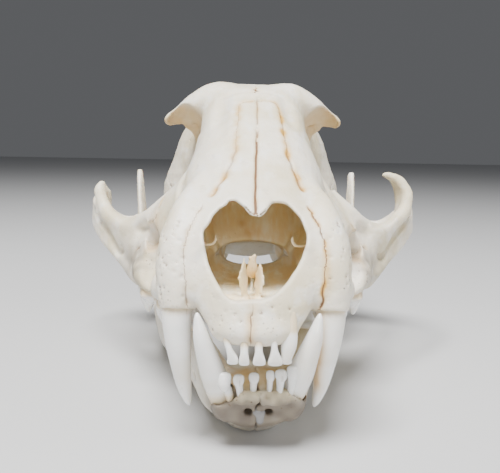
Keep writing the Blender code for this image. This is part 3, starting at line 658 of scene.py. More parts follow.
def dish_cuts(field, side):
    """Broad dishes of the snout and the forehead, and the roof of the eye's hollow."""
    # Behind the canine's root.
    field.cut(ball((side * 20.2, 25.5, 37.5), (3.8, 8.0, 7.0), (0, side * 8, side * 12)), 2.4)
    # The dishes beside the root of the nose, and the roof of the eye's hollow.
    field.cut(ball((side * 8.3, 43.2, 67.0), (2.2, 9.5, 3.1), (36, 0, side * 4)), 2.0)
    field.cut(loft(mirrored([(8.2, 47, 68.6, 0.9, 0.9), (7.9, 41, 65.0, 1.2, 1.0),
        (7.8, 34, 60.8, 1.2, 0.9), (9.2, 27, 56.4, 1.1, 0.8), (11.0, 21, 51.4, 0.8, 0.6)], side)), 1.4)
    field.cut(ball((side * 18.2, 58.0, 59.4), (5.9, 8.8, 7.4), (0, 0, side * -8)), 0.6)


def detail_cuts(field):
    """Openings for nerves and vessels, and hollows where muscles lay."""
    for side in (-1, 1):
        cheek_cuts(field, side)
        base_cuts(field, side)
        dish_cuts(field, side)
    field.cut(ball((0.2, 58, 78.2), (10, 12, 6.2)), 3.0)
    # The broken edge of the right horn.
    for x, z, reach in ((-37.9, 44.9, 0.55), (-36.9, 44.2, 0.4), (-36.4, 42.0, 0.75), (-38.7, 46.0, 0.35)):
        field.cut(ball((x, 65.8, z), (reach, 2.0, reach)), 0.15)


def snout_sutures(skin):
    """Sutures of the nasal bones and the forehead."""
    skin.suture([(0.0, 7.4, 40.2), (0.0, 9.6, 42.4), (0.0, 11.4, 44.0), (0.0, 13.2, 46.0),
        (0.0, 15.2, 48.1), (0.2, 23.1, 53.6), (0.5, 32.9, 59.8)], depth=0.75, width=0.26, zigzag=0.05,
        wave=3.0, dark=1.3, stain=0.7, seed=1, broad=1.2, halo=0.4, across=True)
    skin.suture([(0.45, 30.5, 58.3), (0.5, 32.9, 59.8), (0.6, 44.0, 66.3), (0.4, 46, 67.4)], depth=0.35,
        width=0.26, zigzag=0.05, wave=3.0, dark=0.6, stain=0.5, seed=1, halo=0.4, across=True)
    skin.suture([(0.5, 47.5, 68.2), (0.4, 53, 70.6), (0.3, 60, 72.2)], depth=0.45, width=0.3, zigzag=0.4,
        wave=0.9, dark=1.5, stain=0.5, seed=2, broad=1.6)
    skin.suture([(0.6, 44.0, 66.3), (-1.3, 44.3, 66.2), (-2.6, 43.9, 66.0), (-3.5, 42.3, 64.9),
        (-3.6, 35.6, 60.9), (-3.9, 28.2, 56.5), (-4.6, 23.7, 53.5), (-5.7, 20.6, 51.0),
        (-7.4, 17.5, 48.4), (-8.8, 15.2, 46.4)], depth=0.45, width=0.4, zigzag=0.12, wave=2.2, dark=0.5,
        stain=1.5, seed=3, broad=1.3, halo=0.75)
    skin.suture([(0.6, 44.0, 66.3), (2.2, 44.5, 66.3), (4.1, 44.6, 66.1), (5.2, 43.7, 65.2),
        (5.9, 39.3, 62.3), (6.2, 31.2, 57.8), (6.8, 26.1, 54.3), (7.6, 22.7, 51.7), (8.6, 19.9, 49.5),
        (9.4, 17.1, 47.5)], depth=0.45, width=0.4, zigzag=0.12, wave=2.2, dark=0.7, stain=2.2, seed=4,
        broad=1.6, halo=0.8)


def side_sutures(skin, side, seed, stain):
    """Sutures that both sides have: beside the nose, on cheek and arch, on braincase and palate."""
    skin.suture(mirrored([(9.6, 14.5, 45.5), (10.7, 12.4, 43.6), (11.8, 10.5, 41.4), (12.6, 9.0, 38.9),
        (12.9, 7.8, 36.2), (12.6, 7.0, 33.4), (12.3, 6.4, 31.0), (12.2, 6.3, 28.6), (10.6, 6.0, 25.4)],
        side), depth=0.36, width=0.3, zigzag=0.09, wave=1.8, dark=0.5 + 0.2 * stain, stain=stain,
        seed=seed, broad=1 + 0.2 * stain, halo=0.45)
    skin.suture(mirrored([(19.8, 40, 46.5), (20.9, 38.4, 42.3), (22.2, 38.6, 39.6), (25.4, 41.7, 36.3),
        (27, 44.5, 32), (27.6, 47.5, 27.5)], side), depth=0.35, width=0.32, zigzag=0.2, wave=1.4,
        dark=0.65, stain=0.6, seed=seed + 2)
    skin.suture(mirrored([(41.5, 67, 43.0), (43.2, 73, 40.6), (45.0, 80, 37.4), (43.4, 86, 33.0)], side),
        depth=0.3, width=0.28, zigzag=0.12, wave=2.0, dark=0.6, stain=0.3, seed=seed + 4)
    # Forehead to roof, and the edge of the temple bone.
    skin.suture(mirrored([(0, 77, 71.8), (6, 77.6, 71.0), (12, 77, 67.5), (17, 76, 60), (19, 75, 52),
        (18.4, 74, 44)], side), depth=0.22, width=0.3, zigzag=0.4, wave=1.1, dark=0.45, seed=seed + 6)
    skin.suture(mirrored([(21, 80, 40), (24.8, 86, 46), (26.6, 95, 49.5), (26.2, 104, 49),
        (24.2, 110, 45)], side), depth=0.25, width=0.35, zigzag=0.25, wave=1.6, dark=0.5, seed=seed + 8)
    skin.suture(mirrored([(6, 50.5, 26.8), (9, 44, 26.8), (9.5, 36, 27.0), (5, 31, 27.1), (0, 30, 27.2)],
        side), depth=0.22, width=0.3, zigzag=0.25, wave=1.3, dark=0.5, seed=seed + 10)
    skin.suture(mirrored([(3, 14.5, 26.4), (7, 14.0, 26.4), (10.5, 11, 26.4)], side), depth=0.25,
        width=0.3, zigzag=0.2, wave=1.2, dark=0.5, seed=seed + 12)


def midline_sutures(skin):
    """Sutures along the roof of the braincase, between the incisors and along the palate."""
    skin.suture([(0, 78, 71.8), (0, 88, 71.6), (0, 97, 70.8)], depth=0.2, width=0.3, zigzag=0.35,
        wave=1.1, dark=0.4, seed=20)
    skin.suture([(-0.3, 3.0, 29.4), (-0.5, 1.0, 27.0), (-0.7, 0.1, 24.7), (-0.7, 0.4, 21.6)], depth=0.5,
        width=0.3, zigzag=0.12, wave=1.5, dark=0.8, stain=0.6, seed=21)
    skin.suture([(0, 6, 24.6), (0, 20, 26.6), (0, 40, 27.0), (0, 54, 26.4)], depth=0.3, width=0.3,
        zigzag=0.15, wave=1.6, dark=0.5, seed=22)


def pits(skin):
    """Pits beside the incisors and on the canines' roots."""
    p = skin.points
    rng = np.random.default_rng(SEED)
    spots = [(-3.5, 1.5, 27.4), (3.0, 2.1, 28.5), (-2.3, 0.9, 26.3), (-5.0, 2.0, 27.7), (4.4, 1.5, 26.9),
        (1.2, 1.2, 27.8), (7.3, 2.9, 25.9), (-5.6, 1.9, 26.0), (-7.2, 3.0, 24.2), (6.2, 2.2, 28.4)]
    sizes = list(rng.uniform(0.24, 0.42, len(spots)))
    for side in (-1, 1):
        for _ in range(PITS_A_SIDE):
            z = rng.uniform(27, 42)
            x = side * (17.0 + rng.uniform(-3.4, 1.0))
            spots.append((x, 6.5 + rng.uniform(0, 6) + (z - 27) * 0.3, z))
            sizes.append(rng.uniform(0.2, 0.36))
    for (x, y, z), size in zip(spots, sizes):
        nearest = p[np.argmin(np.linalg.norm(p - (x, y, z), axis=1))]
        away = np.linalg.norm(p - nearest, axis=1)
        dent = np.exp(-(away / size) ** 2)
        skin.lift -= 0.32 * dent
        core = (dent > 0.3) & (np.abs(skin.line) > 1.2)
        skin.line[core] = 0.0
        skin.mark[core] = 0.75 * dent[core]


def nose_colour(skin, hollows):
    """Brown inside the nose, where the bone was never bleached."""
    p = skin.points
    depth_in = np.full(len(p), BAND)
    for form in hollows:
        points, faces = form
        low, high = points.min(0) - 1, points.max(0) + 1
        inside = np.nonzero(np.all((p > low) & (p < high), axis=1))[0]
        probe = Field(low - 2, high + 2, 0.6)
        cut, near = probe.distances(form)
        probe.values[cut] = near
        depth_in[inside] = np.minimum(depth_in[inside], probe.sample(probe.values, p[inside]))
    wall = smoothstep(0.9, 0.35, depth_in)
    skin.inner = wall * smoothstep(-1.2, 2.6, p[:, 1] + 0.6 * (p[:, 2] - 36)) * smoothstep(80, 66, p[:, 1])
    free = smoothstep(-0.3, -0.9, depth_in) * smoothstep(22, 18, p[:, 1])
    skin.inner *= 1 - 0.5 * free


def warm_colour_and_shade(skin):
    """Warm stains round the eyes' depths, in the ears and on the base; painted warm shade under the brow;
    painted shade at the canals in front of the eyes and over the cheek teeth.
    """
    p = skin.points
    for side in (-1, 1):
        # Painted warm shade on the faces under the brow that look down: warm tone as in the hollows, and an
        # amber patch.
        under = smoothstep(0.35, -0.05, skin.normals[:, 2])
        away = away_from(p, (side * 16.5, 63.5, 60.0), (12.0, 9.0, 8.5))
        skin.fold = np.maximum(skin.fold, under * smoothstep(1.2, 0.7, away))
        skin.patch((side * 16.5, 63.5, 60.0), (12.0, 9.0, 8.0), 0.5, 1, under)
        porous(skin, (side * 17.0, 9.5, 32), (3.4, 5.0, 8.0), 0.9)
        porous(skin, (side * 15.0, 7.0, 26.5), (3.4, 4.0, 2.2), 0.9)
        skin.patch((side * 14, 60, 44), (7, 12, 9), 0.35, 2)
        x, z = CANAL_LEFT if side > 0 else CANAL_RIGHT
        # Painted light and shade at the canal in front of the eye: its back wall, which faces the front,
        # loses its painted crease shade, and its side walls and the bone above and beside its mouth get
        # painted shade in amber.
        mouth = np.exp(-away_from(p, (side * (x + 0.6), 39.5, z), (3.4, 5.0, 4.4)) ** 4)
        facing = smoothstep(0.35, 0.8, -skin.normals[:, 1])
        skin.hollow *= 1 - 0.85 * mouth * facing
        skin.stain = np.maximum(skin.stain, 0.75 * mouth * (1 - facing))
        skin.patch((side * (x + 0.4), 37.5, z + 3.6), (4.4, 4.0, 3.2), 0.6, 15)
        skin.patch((side * (x + 3.0), 37.5, z - 1.0), (2.0, 4.0, 4.0), 0.5, 16)
        # Painted shade over the cheek teeth, where the bone is also porous.
        cheek = np.exp(-away_from(p, (side * 26.5, 43.0, 28.5), (6.0, 10.0, 5.5)) ** 2)
        skin.dull = np.maximum(skin.dull, 0.7 * cheek * (0.75 + 0.6 * noise(p, 1.6, 41)))
        porous(skin, (side * 25.0, 40.0, 28.5), (4.0, 8.0, 5.0), 0.7)
        skin.patch((side * 24, 100, 29), (4, 4, 4), 0.5, 3)
        skin.patch((side * 12, 70, 36), (8, 10, 6), 0.3, 4)
    skin.patch((0, 118, 32), (12, 6, 6), 0.3, 6)
    skin.patch((12.9, 8.2, 34.5), (0.7, 3, 5.5), 1.3, 7)
    skin.patch((-0.4, 10.4, 32.8), (3.2, 3.4, 5.4), 1.1, 8)
    porous(skin, (0, 1.5, 25.5), (7.0, 3.0, 3.0), 0.6)
    # Red marks left inside the nose.
    skin.patch((0.0, 46, 35.6), (2.4, 4, 1.8), 1.0, 9)
    skin.patch((-2.4, 44, 38.0), (1.0, 5, 1.2), 0.9, 10)
    skin.patch((-3.8, 30, 29.0), (1.4, 2.2, 2.0), 0.8, 11)


def cranium_marks(skin, hollows):
    """Sutures, stains, pits and painted shade."""
    snout_sutures(skin)
    side_sutures(skin, -1, 5, 0.6)
    side_sutures(skin, 1, 6, 2.4)
    midline_sutures(skin)
    pits(skin)
    nose_colour(skin, hollows)
    warm_colour_and_shade(skin)


def porous(skin, centre, reach, amount):
    """Marks where the bone is full of fine pores."""
    away = away_from(skin.points, centre, reach)
    cloudy = away + 0.4 * noise(skin.points, 3.0, 70)
    skin.porous = np.maximum(skin.porous, amount * smoothstep(1.3, 0.6, cloudy))


def bone_texture(skin, field, fine=0.05):
    """Faint lumps and grain that a cleaned bone has, and painted shade in its creases and its wide hollows.
    """
    p = skin.points
    calm = 1 - 0.5 * skin.inner
    skin.lift += calm * (0.16 * noise(p, 7.0, 1) + 0.07 * noise(p, 2.6, 2) + fine * noise(p, 1.1, 3))
    reach = max(1, round(1.3 / field.voxel))
    mean = field.sample(blurred(np.clip(field.values, -2, 2), reach), p)
    skin.hollow = np.maximum(skin.hollow, smoothstep(0.05, 0.55, -mean))
    reach = max(1, round(2.6 / field.voxel))
    wide = field.sample(blurred(np.clip(field.values, -BAND, BAND), reach), p)
    skin.fold = smoothstep(0.1, 1.3, -wide + 0.25 * noise(p, 2.4, 4))


# Materials


def shader_tree(name):
    made = bpy.data.materials.new(name)
    made.use_nodes = True
    tree = made.node_tree
    return made, tree, tree.nodes["Principled BSDF"]


class Wiring:
    """Short ways to add nodes to a material."""

    def __init__(self, tree):
        self.tree = tree

    def put(self, socket, value):
        if isinstance(value, bpy.types.NodeSocket):
            self.tree.links.new(value, socket)
        else:
            socket.default_value = value

    def add(self, kind, output, inputs, **settings):
        """A new node with its settings and inputs; gives the named output."""
        node = self.tree.nodes.new("ShaderNode" + kind)
        for label, value in settings.items():
            setattr(node, label, value)
        for label, value in inputs.items():
            self.put(node.inputs[label], value)
        return node.outputs[output]

    def read(self, label):
        return self.add("Attribute", "Fac", {}, attribute_name=label)

    def place(self):
        return self.add("TexCoord", "Object", {})

    def scaled(self, vector, by):
        return self.add("Mapping", "Vector", {"Vector": vector, "Scale": by})

    def grain(self, vector, scale, detail=3.0, rough=0.55):
        inputs = {"Vector": vector, "Scale": scale, "Detail": detail, "Roughness": rough}
        return self.add("TexNoise", "Fac", inputs)

    def cells(self, vector, scale):
        return self.add("TexVoronoi", "Distance", {"Vector": vector, "Scale": scale})

    def ramp(self, value, low, high, to_low=0.0, to_high=1.0):
        inputs = {"Value": value, "From Min": low, "From Max": high, "To Min": to_low, "To Max": to_high}
        return self.add("MapRange", "Result", inputs, interpolation_type="SMOOTHSTEP")

    def math(self, operation, a, b=0.0):
        return self.add("Math", "Value", {0: a, 1: b}, operation=operation)

    def mix(self, share, a, b):
        return self.add("Mix", "Result", {"Factor": share, "A": a, "B": b}, data_type="RGBA")

    def bump(self, height, distance, strength):
        return self.add("Bump", "Normal", {"Height": height, "Distance": distance, "Strength": strength})


IVORY = (0.82, 0.76, 0.64, 1)
WARM = (0.68, 0.60, 0.42, 1)
CHALK = (0.84, 0.83, 0.80, 1)
AMBER = (0.62, 0.36, 0.08, 1)
SUTURE = (0.15, 0.07, 0.025, 1)
HONEY = (0.88, 0.72, 0.43, 1)
PALE_HONEY = (0.97, 0.91, 0.75, 1)
SHADE_OCHRE = (0.66, 0.50, 0.27, 1)
SHADE_UMBER = (0.15, 0.12, 0.09, 1)
DUST_AND_SHADE = (0.36, 0.28, 0.18, 1)
PIT = (0.10, 0.06, 0.03, 1)
GLUE_GREY = (0.25, 0.245, 0.24, 1)
FLOOR_GREY = (0.55, 0.55, 0.55, 1)
SKY = (0.74, 0.76, 0.8, 1)
SKY_STRENGTH = 0.15


def bone_shader():
    made, tree, shader = shader_tree("dry_bone")
    w = Wiring(tree)
    place = w.place()
    cloud = w.grain(place, 55, 3)
    fine = w.grain(place, 420, 3, 0.6)
    long = w.grain(w.scaled(place, (260, 45, 260)), 1.0, 3)
    colour = w.mix(w.ramp(cloud, 0.42, 0.66), IVORY, WARM)
    colour = w.mix(w.math("MULTIPLY", w.ramp(long, 0.5, 0.72), 0.55), colour, CHALK)
    colour = w.mix(w.math("MULTIPLY", w.ramp(fine, 0.56, 0.74), 0.22), colour, DUST_AND_SHADE)
    # Painted shade in creases and small hollows, mixed towards the dust colour.
    hollow = w.math("MULTIPLY", w.read("hollow"), 0.5)
    colour = w.mix(hollow, colour, DUST_AND_SHADE)
    streaks = w.ramp(w.grain(w.scaled(place, (420, 90, 130)), 1.0, 4), 0.38, 0.7)
    deep = w.mix(streaks, HONEY, PALE_HONEY)
    colour = w.mix(w.read("inner"), colour, deep)
    # Painted warm shade in wide hollows and under the brow.
    colour = w.mix(w.math("MULTIPLY", w.read("fold"), 0.75), colour, SHADE_OCHRE)
    # Stains along sutures and in the nose, and painted shade in amber under the brow, at the canals in front
    # of the eyes and behind the lower incisors.
    stain = w.math("MULTIPLY", w.read("stain"), w.ramp(w.grain(place, 300, 3), 0.3, 0.62, 0.55, 1.0))
    colour = w.mix(stain, colour, AMBER)
    # Painted shade on the chin and over the cheek teeth.
    colour = w.mix(w.read("dull"), colour, SHADE_UMBER)
    pits = w.ramp(w.cells(place, 1250), 0.16, 0.28, 1.0, 0.0)
    pits = w.math("MULTIPLY", pits, w.ramp(w.grain(place, 520, 2), 0.5, 0.62))
    colour = w.mix(w.math("MULTIPLY", pits, w.read("porous")), colour, PIT)
    line = w.ramp(w.math("ABSOLUTE", w.read("line")), 0.06, 0.3, 1.0, 0.0)
    colour = w.mix(w.math("MULTIPLY", line, w.read("mark")), colour, SUTURE)
    w.put(shader.inputs["Base Color"], colour)
    w.put(shader.inputs["Roughness"], w.ramp(cloud, 0.3, 0.7, 0.42, 0.58))
    shader.inputs["Subsurface Weight"].default_value = 0.12
    shader.inputs["Subsurface Radius"].default_value = (0.0022, 0.0014, 0.0008)
    shader.inputs["Subsurface Scale"].default_value = 1.0
    pores = w.ramp(w.cells(place, 900), 0.05, 0.35)
    height = w.math("ADD", w.math("MULTIPLY", fine, 0.6), w.math("MULTIPLY", pores, 0.35))
    w.put(shader.inputs["Normal"], w.bump(height, 0.00022, 0.55))
    return made


ENAMEL = (0.90, 0.89, 0.86, 1)
DENTINE = (0.70, 0.57, 0.38, 1)


def tooth_shader():
    made, tree, shader = shader_tree("enamel")
    w = Wiring(tree)
    place = w.place()
    cloud = w.grain(place, 90, 3)
    cracks = w.grain(w.scaled(place, (900, 900, 40)), 1.0, 2)
    colour = w.mix(w.ramp(w.read("root"), 0.0, 1.0), ENAMEL, DENTINE)
    colour = w.mix(w.math("MULTIPLY", w.ramp(cloud, 0.45, 0.7), 0.35), colour, WARM)
    colour = w.mix(w.math("MULTIPLY", w.ramp(cracks, 0.66, 0.74), 0.3), colour, DUST_AND_SHADE)
    colour = w.mix(w.math("MULTIPLY", w.read("stain"), w.ramp(cloud, 0.3, 0.6, 0.6, 1.0)), colour, AMBER)
    w.put(shader.inputs["Base Color"], colour)
    w.put(shader.inputs["Roughness"], w.ramp(w.read("root"), 0.0, 1.0, 0.2, 0.42))
    shader.inputs["Subsurface Weight"].default_value = 0.15
    shader.inputs["Subsurface Radius"].default_value = (0.002, 0.0014, 0.001)
    shader.inputs["Subsurface Scale"].default_value = 1.0
    shader.inputs["Coat Weight"].default_value = 0.25
    shader.inputs["Coat Roughness"].default_value = 0.12
    w.put(shader.inputs["Normal"], w.bump(cracks, 0.0001, 0.15))
    return made


def plain_shader(name, colour, roughness):
    made, _, shader = shader_tree(name)
    shader.inputs["Base Color"].default_value = colour
    shader.inputs["Roughness"].default_value = roughness
    return made


# Teeth


def into_root(crown_z, root_z):
    """How far each point is into the root, from 0 to 1."""
    return lambda p: smoothstep(crown_z, root_z, p[:, 2])


def brown_streak(p):
    """The stain on the inner side of the left upper canine."""
    ends = smoothstep(9, 13, p[:, 2]) * smoothstep(30, 22, p[:, 2])
    return 0.8 * np.exp(-((p[:, 0] - 11.8) / 1.1) ** 2) * ends


def tooth_piece(name, form, shader, root=None, stain=None):
    """root gives how far each point is into the root, from 0 to 1, and stain how brown it is."""
    points, faces = form
    obj = mesh_piece(name, points, faces, shader)
    for label, rule in (("root", root), ("stain", stain)):
        add_values(obj, label, np.zeros(len(points)) if rule is None else np.clip(rule(points), 0, 1))
    return obj


def grown(stations, shader, name, root=None, stain=None, square=2.0, place=None):
    """A tooth lofted from its root to its tip."""
    points, faces = loft(stations, (1, 0, 0), square, TOOTH_SIDES)
    if place:
        points = place(points)
    return tooth_piece(name, (points, faces), shader, root, stain)


def cusped(name, shader, lumps, voxel=0.2, place=None, root=None):
    """A cheek tooth: soft union of the lumps, each a loft from the root to one cusp."""
    forms = [loft(stations, (0, 1, 0), 2.2, CUSP_SIDES, CUSP_STEPS) for stations in lumps]
    every = np.vstack([points for points, _ in forms])
    field = Field(every.min(0) - 1, every.max(0) + 1, voxel)
    for form in forms:
        field.add(form, 0.5)
    points, quads = field.skin()
    if place:
        points = place(points)
    return tooth_piece(name, (points, quads), shader, root)


def blade_lumps(start, end, socket, step, cusps, thick, root=4.0):
    """Lumps along a line from front to back. cusps holds (share of the way, height, half length)."""
    start, end = np.array(start, float), np.array(end, float)
    long = np.linalg.norm(end - start)
    middle = start + (end - start) * 0.5
    lumps = [[(*middle, socket - step * root, thick * 0.5, long * 0.30),
        (*middle, socket - step * 1.0, thick * 0.8, long * 0.44),
        (*middle, socket + step * 1.0, thick * 0.85, long * 0.5),
        (*middle, socket + step * 1.9, thick * 0.5, long * 0.36)]]
    for share, height, half in cusps:
        x, y = start + (end - start) * share
        lumps.append([(x, y, socket - step * 1.0, thick * 0.8, half),
            (x, y, socket + step * height * 0.35, thick, half),
            (x, y, socket + step * height * 0.75, thick * 0.6, half * 0.55),
            (x, y, socket + step * height, thick * 0.18, half * 0.16)])
    return [[(x, y, z, b, a) for x, y, z, a, b in lump] for lump in lumps]


# Root X, tip X, half width of neck and tip, tip Z and socket Z. The right third incisor is missing.
UPPER_INCISORS = [(-4.85, -3.7, 0.62, 1.0, 18.7, 22.6), (-1.7, -1.7, 0.7, 0.92, 18.85, 22.0),
    (0.75, 0.9, 0.7, 1.1, 18.9, 22.3), (3.35, 3.7, 0.62, 1.28, 18.7, 23.0),
    (6.5, 5.75, 1.1, 1.0, 18.65, 24.2)]
UPPER_CANINE = [(13.6, 14.5, 38, 1.6, 2.2), (14.0, 11.5, 33, 2.5, 3.5),
    (CANINE_X, CANINE_Y, 26.4, 2.85, 3.8), (14.1, 9.4, 22, 2.55, 3.5), (13.7, 9.4, 18, 2.15, 3.0),
    (13.1, 10.2, 12.7, 1.55, 2.2), (12.5, 11.3, 9.0, 0.95, 1.4), (12.1, 12.0, 7.3, 0.5, 0.75),
    (12.0, 12.3, 6.9, 0.2, 0.3)]


def upper_teeth(enamel):
    made = []
    for k, (x0, x1, neck, wide, tip, socket) in enumerate(UPPER_INCISORS):
        y = 0.5 + 0.045 * x0 * x0
        thick = 1.1 if k < 4 else 1.5
        waist = neck * (1.0 if k < 4 else 1.25)
        stations = [(x0, y + 1.6, socket + 3.0, neck * 0.8, thick), (x0, y + 0.6, socket + 0.4, neck, thick),
            ((x0 + x1) / 2, y + 0.1, (socket + tip) / 2 + 0.5, waist, thick * 0.95),
            (x1, y - 0.1, tip + 0.9, wide * 0.95, thick * 0.72), (x1, y - 0.1, tip + 0.3, wide, thick * 0.5),
            (x1, y - 0.05, tip + 0.06, wide * 0.86, thick * 0.34), (x1, y, tip, wide * 0.5, thick * 0.15)]
        made.append(grown(stations, enamel, "upper_incisor_%d" % k, into_root(socket - 0.9, socket + 0.9),
            square=2.7))
    for side, word in ((-1, "right"), (1, "left")):
        stain = brown_streak if side > 0 else None
        made.append(grown(mirrored(UPPER_CANINE, side), enamel, "upper_canine_" + word,
            into_root(25.2, 27.5), stain, square=2.15))
        premolar = blade_lumps((side * 17.4, 23.6), (side * 20.6, 33.8), TOOTH_ROW_Z, -1,
            ((0.1, 2.2, 1.1), (0.46, 5.4, 2.4), (0.76, 2.9, 1.3), (0.94, 1.9, 0.8)), 1.7)
        carnassial = blade_lumps((side * 22.3, 34.6), (side * 26.0, 48.2), TOOTH_ROW_Z, -1,
            ((0.07, 2.6, 1.2), (0.22, 3.8, 1.6), (0.46, 5.9, 2.9), (0.83, 4.6, 2.7)), 1.85)
        carnassial.append([(side * 19.6, 37.0, TOOTH_ROW_Z + 3.0, 1.2, 1.1),
            (side * 19.9, 37.0, TOOTH_ROW_Z, 1.6, 1.5), (side * 20.0, 37.2, TOOTH_ROW_Z - 2.0, 0.9, 0.8),
            (side * 20.1, 37.2, TOOTH_ROW_Z - 2.6, 0.3, 0.3)])
        molar = blade_lumps((side * 19.6, 50.4), (side * 23.2, 50.4), TOOTH_ROW_Z + 0.6, -1,
            ((0.3, 1.5, 0.8), (0.75, 1.9, 0.9)), 1.1, 3.0)
        for label, lumps in (("premolar", premolar), ("carnassial", carnassial), ("molar", molar)):
            made.append(cusped("upper_%s_%s" % (label, word), enamel, lumps, root=into_root(21.8, 23.6)))
    return made


# Lower jaw


def jaw_place(points):
    """The jaw lies a little askew."""
    x, y = points[:, 0], points[:, 1] - JAW_TURN_Y
    c, s = math.cos(JAW_TURN), math.sin(JAW_TURN)
    return np.stack([x * c - y * s + JAW_SHIFT, x * s + y * c + JAW_TURN_Y, points[:, 2]], 1)


LOWER_CANINE = [(4.6, 15.0, 4.0, 1.5, 2.0), (5.6, 11.4, 7.2, 2.1, 2.9), (7.0, 8.8, 11.6, 2.35, 3.3),
    (8.1, 7.1, 15.0, 2.3, 3.1), (8.9, 6.0, 17.8, 2.05, 2.7), (10.1, 4.7, 22.4, 1.5, 1.9),
    (10.7, 4.5, 25.4, 0.85, 1.05), (10.9, 4.6, 26.6, 0.4, 0.5), (10.95, 4.7, 26.9, 0.15, 0.2)]


def jaw_forms(side):
    wide = 0 if side > 0 else -0.8
    # The chin and the body.
    yield loft([(0, 5.6, 10.6, 7.8 + wide, 1.9), (0, 8.5, 9.7, 8.7 + wide, 4.9),
        (0, 14.5, 7.7, 7.8 + wide, 6.2), (0, 19.5, 6.2, 7.4, 7.0), (0, 24, 7.2, 6.6, 5.4),
        (0, 27, 8.8, 5.0, 3.0)], square=2.25), 1.4
    yield loft([(6.4, 12, 9.6, 2.6, 5.0), (8.8, 20, 9.8, 2.9, 6.6), (11.2, 28, 11.2, 3.0, 6.4),
        (14.8, 40, 12.0, 3.0, 6.8), (18.2, 51, 11.6, 3.0, 7.8), (20.8, 61, 11.4, 2.9, 8.6),
        (22.8, 71, 11.6, 2.6, 9.2), (24.0, 80, 12.0, 2.3, 8.4), (24.8, 87, 12.0, 2.0, 6.0)],
        square=2.3), 2.0
    # The high process, the joint's head, its neck, and the rear corner.
    yield loft([(24.0, 77, 12, 2.0, 9.5), (26.6, 75.6, 21, 1.8, 8.8), (28.6, 75.6, 29, 1.5, 7.8),
        (29.6, 77.8, 37, 1.2, 5.8), (30.4, 80.2, 44, 1.0, 3.8), (30.8, 82.2, 49.0, 0.8, 1.6)]), 1.6
    yield loft([(23.0, 91.6, 26.8, 1.5, 1.5), (26, 91, 27.2, 2.4, 2.4), (33, 90.6, 26.9, 2.5, 2.5),
        (38, 90.4, 26.2, 1.4, 1.5)], (0, 1, 0)), 1.2
    yield loft([(25.6, 83, 16, 2.2, 5.0), (28.4, 87.0, 22.0, 2.1, 3.6), (30.4, 90.2, 26.6, 2.2, 2.4)]), 2.0
    yield loft([(24.2, 80, 9.6, 2.3, 4.6), (24.8, 87, 5.2, 2.3, 4.8), (25.0, 92.5, 2.4, 2.3, 3.8),
        (25.0, 98.5, 3.2, 1.3, 1.8)]), 1.6
    # The canine's root.
    yield ball((6.5 + wide, 8.8, 9.8), (3.0, 4.0, 4.2), (-28, 0, 0)), 1.2
    # The broken front edge over the chin, and the bone that holds the cheek teeth.
    yield loft([(-2, 5.0, 11.0, 1.3, 1.4), (1.5, 4.9, 11.0, 1.3, 1.4), (4.6, 5.3, 11.2, 1.3, 1.3),
        (7.6, 7.0, 11.8, 1.2, 1.6)], (0, 1, 0)), 0.8
    yield loft([(11.0, 26.0, 14.6, 2.0, 2.0), (12.6, 31.5, 15.4, 2.2, 2.4), (15.2, 41.5, 16.0, 2.2, 2.4),
        (18.6, 53, 16.4, 2.2, 2.4), (20.6, 60.5, 16.6, 1.8, 2.0)]), 1.4


def jaw_field(side):
    field = Field((-3 if side > 0 else -42, 1, -2), (42 if side > 0 else 3, 103, 53), JAW_VOXEL)
    turn = (lambda form: form) if side > 0 else flipped
    for form, blend in jaw_forms(side):
        field.add(turn(form), blend)
    field.cut(turn(ball((37.2, 76, 22), (7.9, 9.0, 11.2))), 1.2)
    root = [(x, y, z, a + 0.22, b + 0.22) for x, y, z, a, b in LOWER_CANINE]
    field.cut(turn(loft(root)), 0.3)
    # Holes for nerves, outside under the teeth and inside behind them, and the dishes for muscles.
    field.cut(turn(loft([(12.2, 21.0, 9.4, 0.7, 0.9), (9.8, 22.6, 9.2, 0.7, 0.9)], (0, 1, 0))), 0.5)
    field.cut(turn(loft([(14.6, 28.6, 10.2, 0.6, 0.8), (12.4, 29.6, 10.0, 0.6, 0.8)], (0, 1, 0))), 0.5)
    field.cut(turn(loft([(20.4, 77, 13.0, 1.2, 1.6), (23.6, 73, 12.0, 0.9, 1.2)], (0, 1, 0))), 0.6)
    field.cut(turn(ball((19.4, 84, 9.0), (3.4, 6.4, 5.0))), 1.6)
    # Two small holes and the hollow on the chin.
    field.cut(turn(ball((2.25 if side > 0 else 1.5, 6.4, 8.1), (0.8, 2.6, 0.75), (0, 14, 0))), 0.3)
    field.cut(turn(ball((3.6, 2.0, 7.2), (6.0, 3.2, 3.0), (24, 0, 0))), 1.4)
    if side > 0:
        field.cut(ball((0.5, 4.6, 10.7), (0.42, 2.2, 1.3)), 0.2)
    else:
        field.cut(turn(ball((7.2, 4.2, 12.2), (3.6, 4.2, 3.1))), 0.3)
    return field


# A dried drop that bridges the two halves under the small holes of the chin.
GLUE = [
    [(0.7, 6.8, 8.6, 0.5, 0.5), (0.7, 6.2, 8.1, 0.9, 1.0), (0.7, 6.4, 7.1, 0.95, 0.9),
        (0.75, 7.0, 6.1, 0.9, 0.85), (0.8, 7.9, 5.4, 0.7, 0.5)],
    [(-0.2, 6.6, 8.5, 0.5, 0.4), (-0.3, 6.0, 8.1, 0.7, 0.5), (-0.2, 6.4, 7.6, 0.5, 0.4)]]

# Root X, tip X, half width of neck and tip, and tip Z, from the middle outwards.
LOWER_INCISORS = {
    "left": [(2.2, 2.33, 0.5, 0.8, 16.2), (3.95, 4.25, 0.6, 1.1, 16.45), (6.0, 6.5, 0.7, 1.2, 17.1)],
    "right": [(-0.75, -0.62, 0.6, 0.95, 15.8), (-2.95, -3.37, 0.65, 1.0, 15.5),
        (-5.0, -6.0, 0.8, 1.3, 15.75)]}


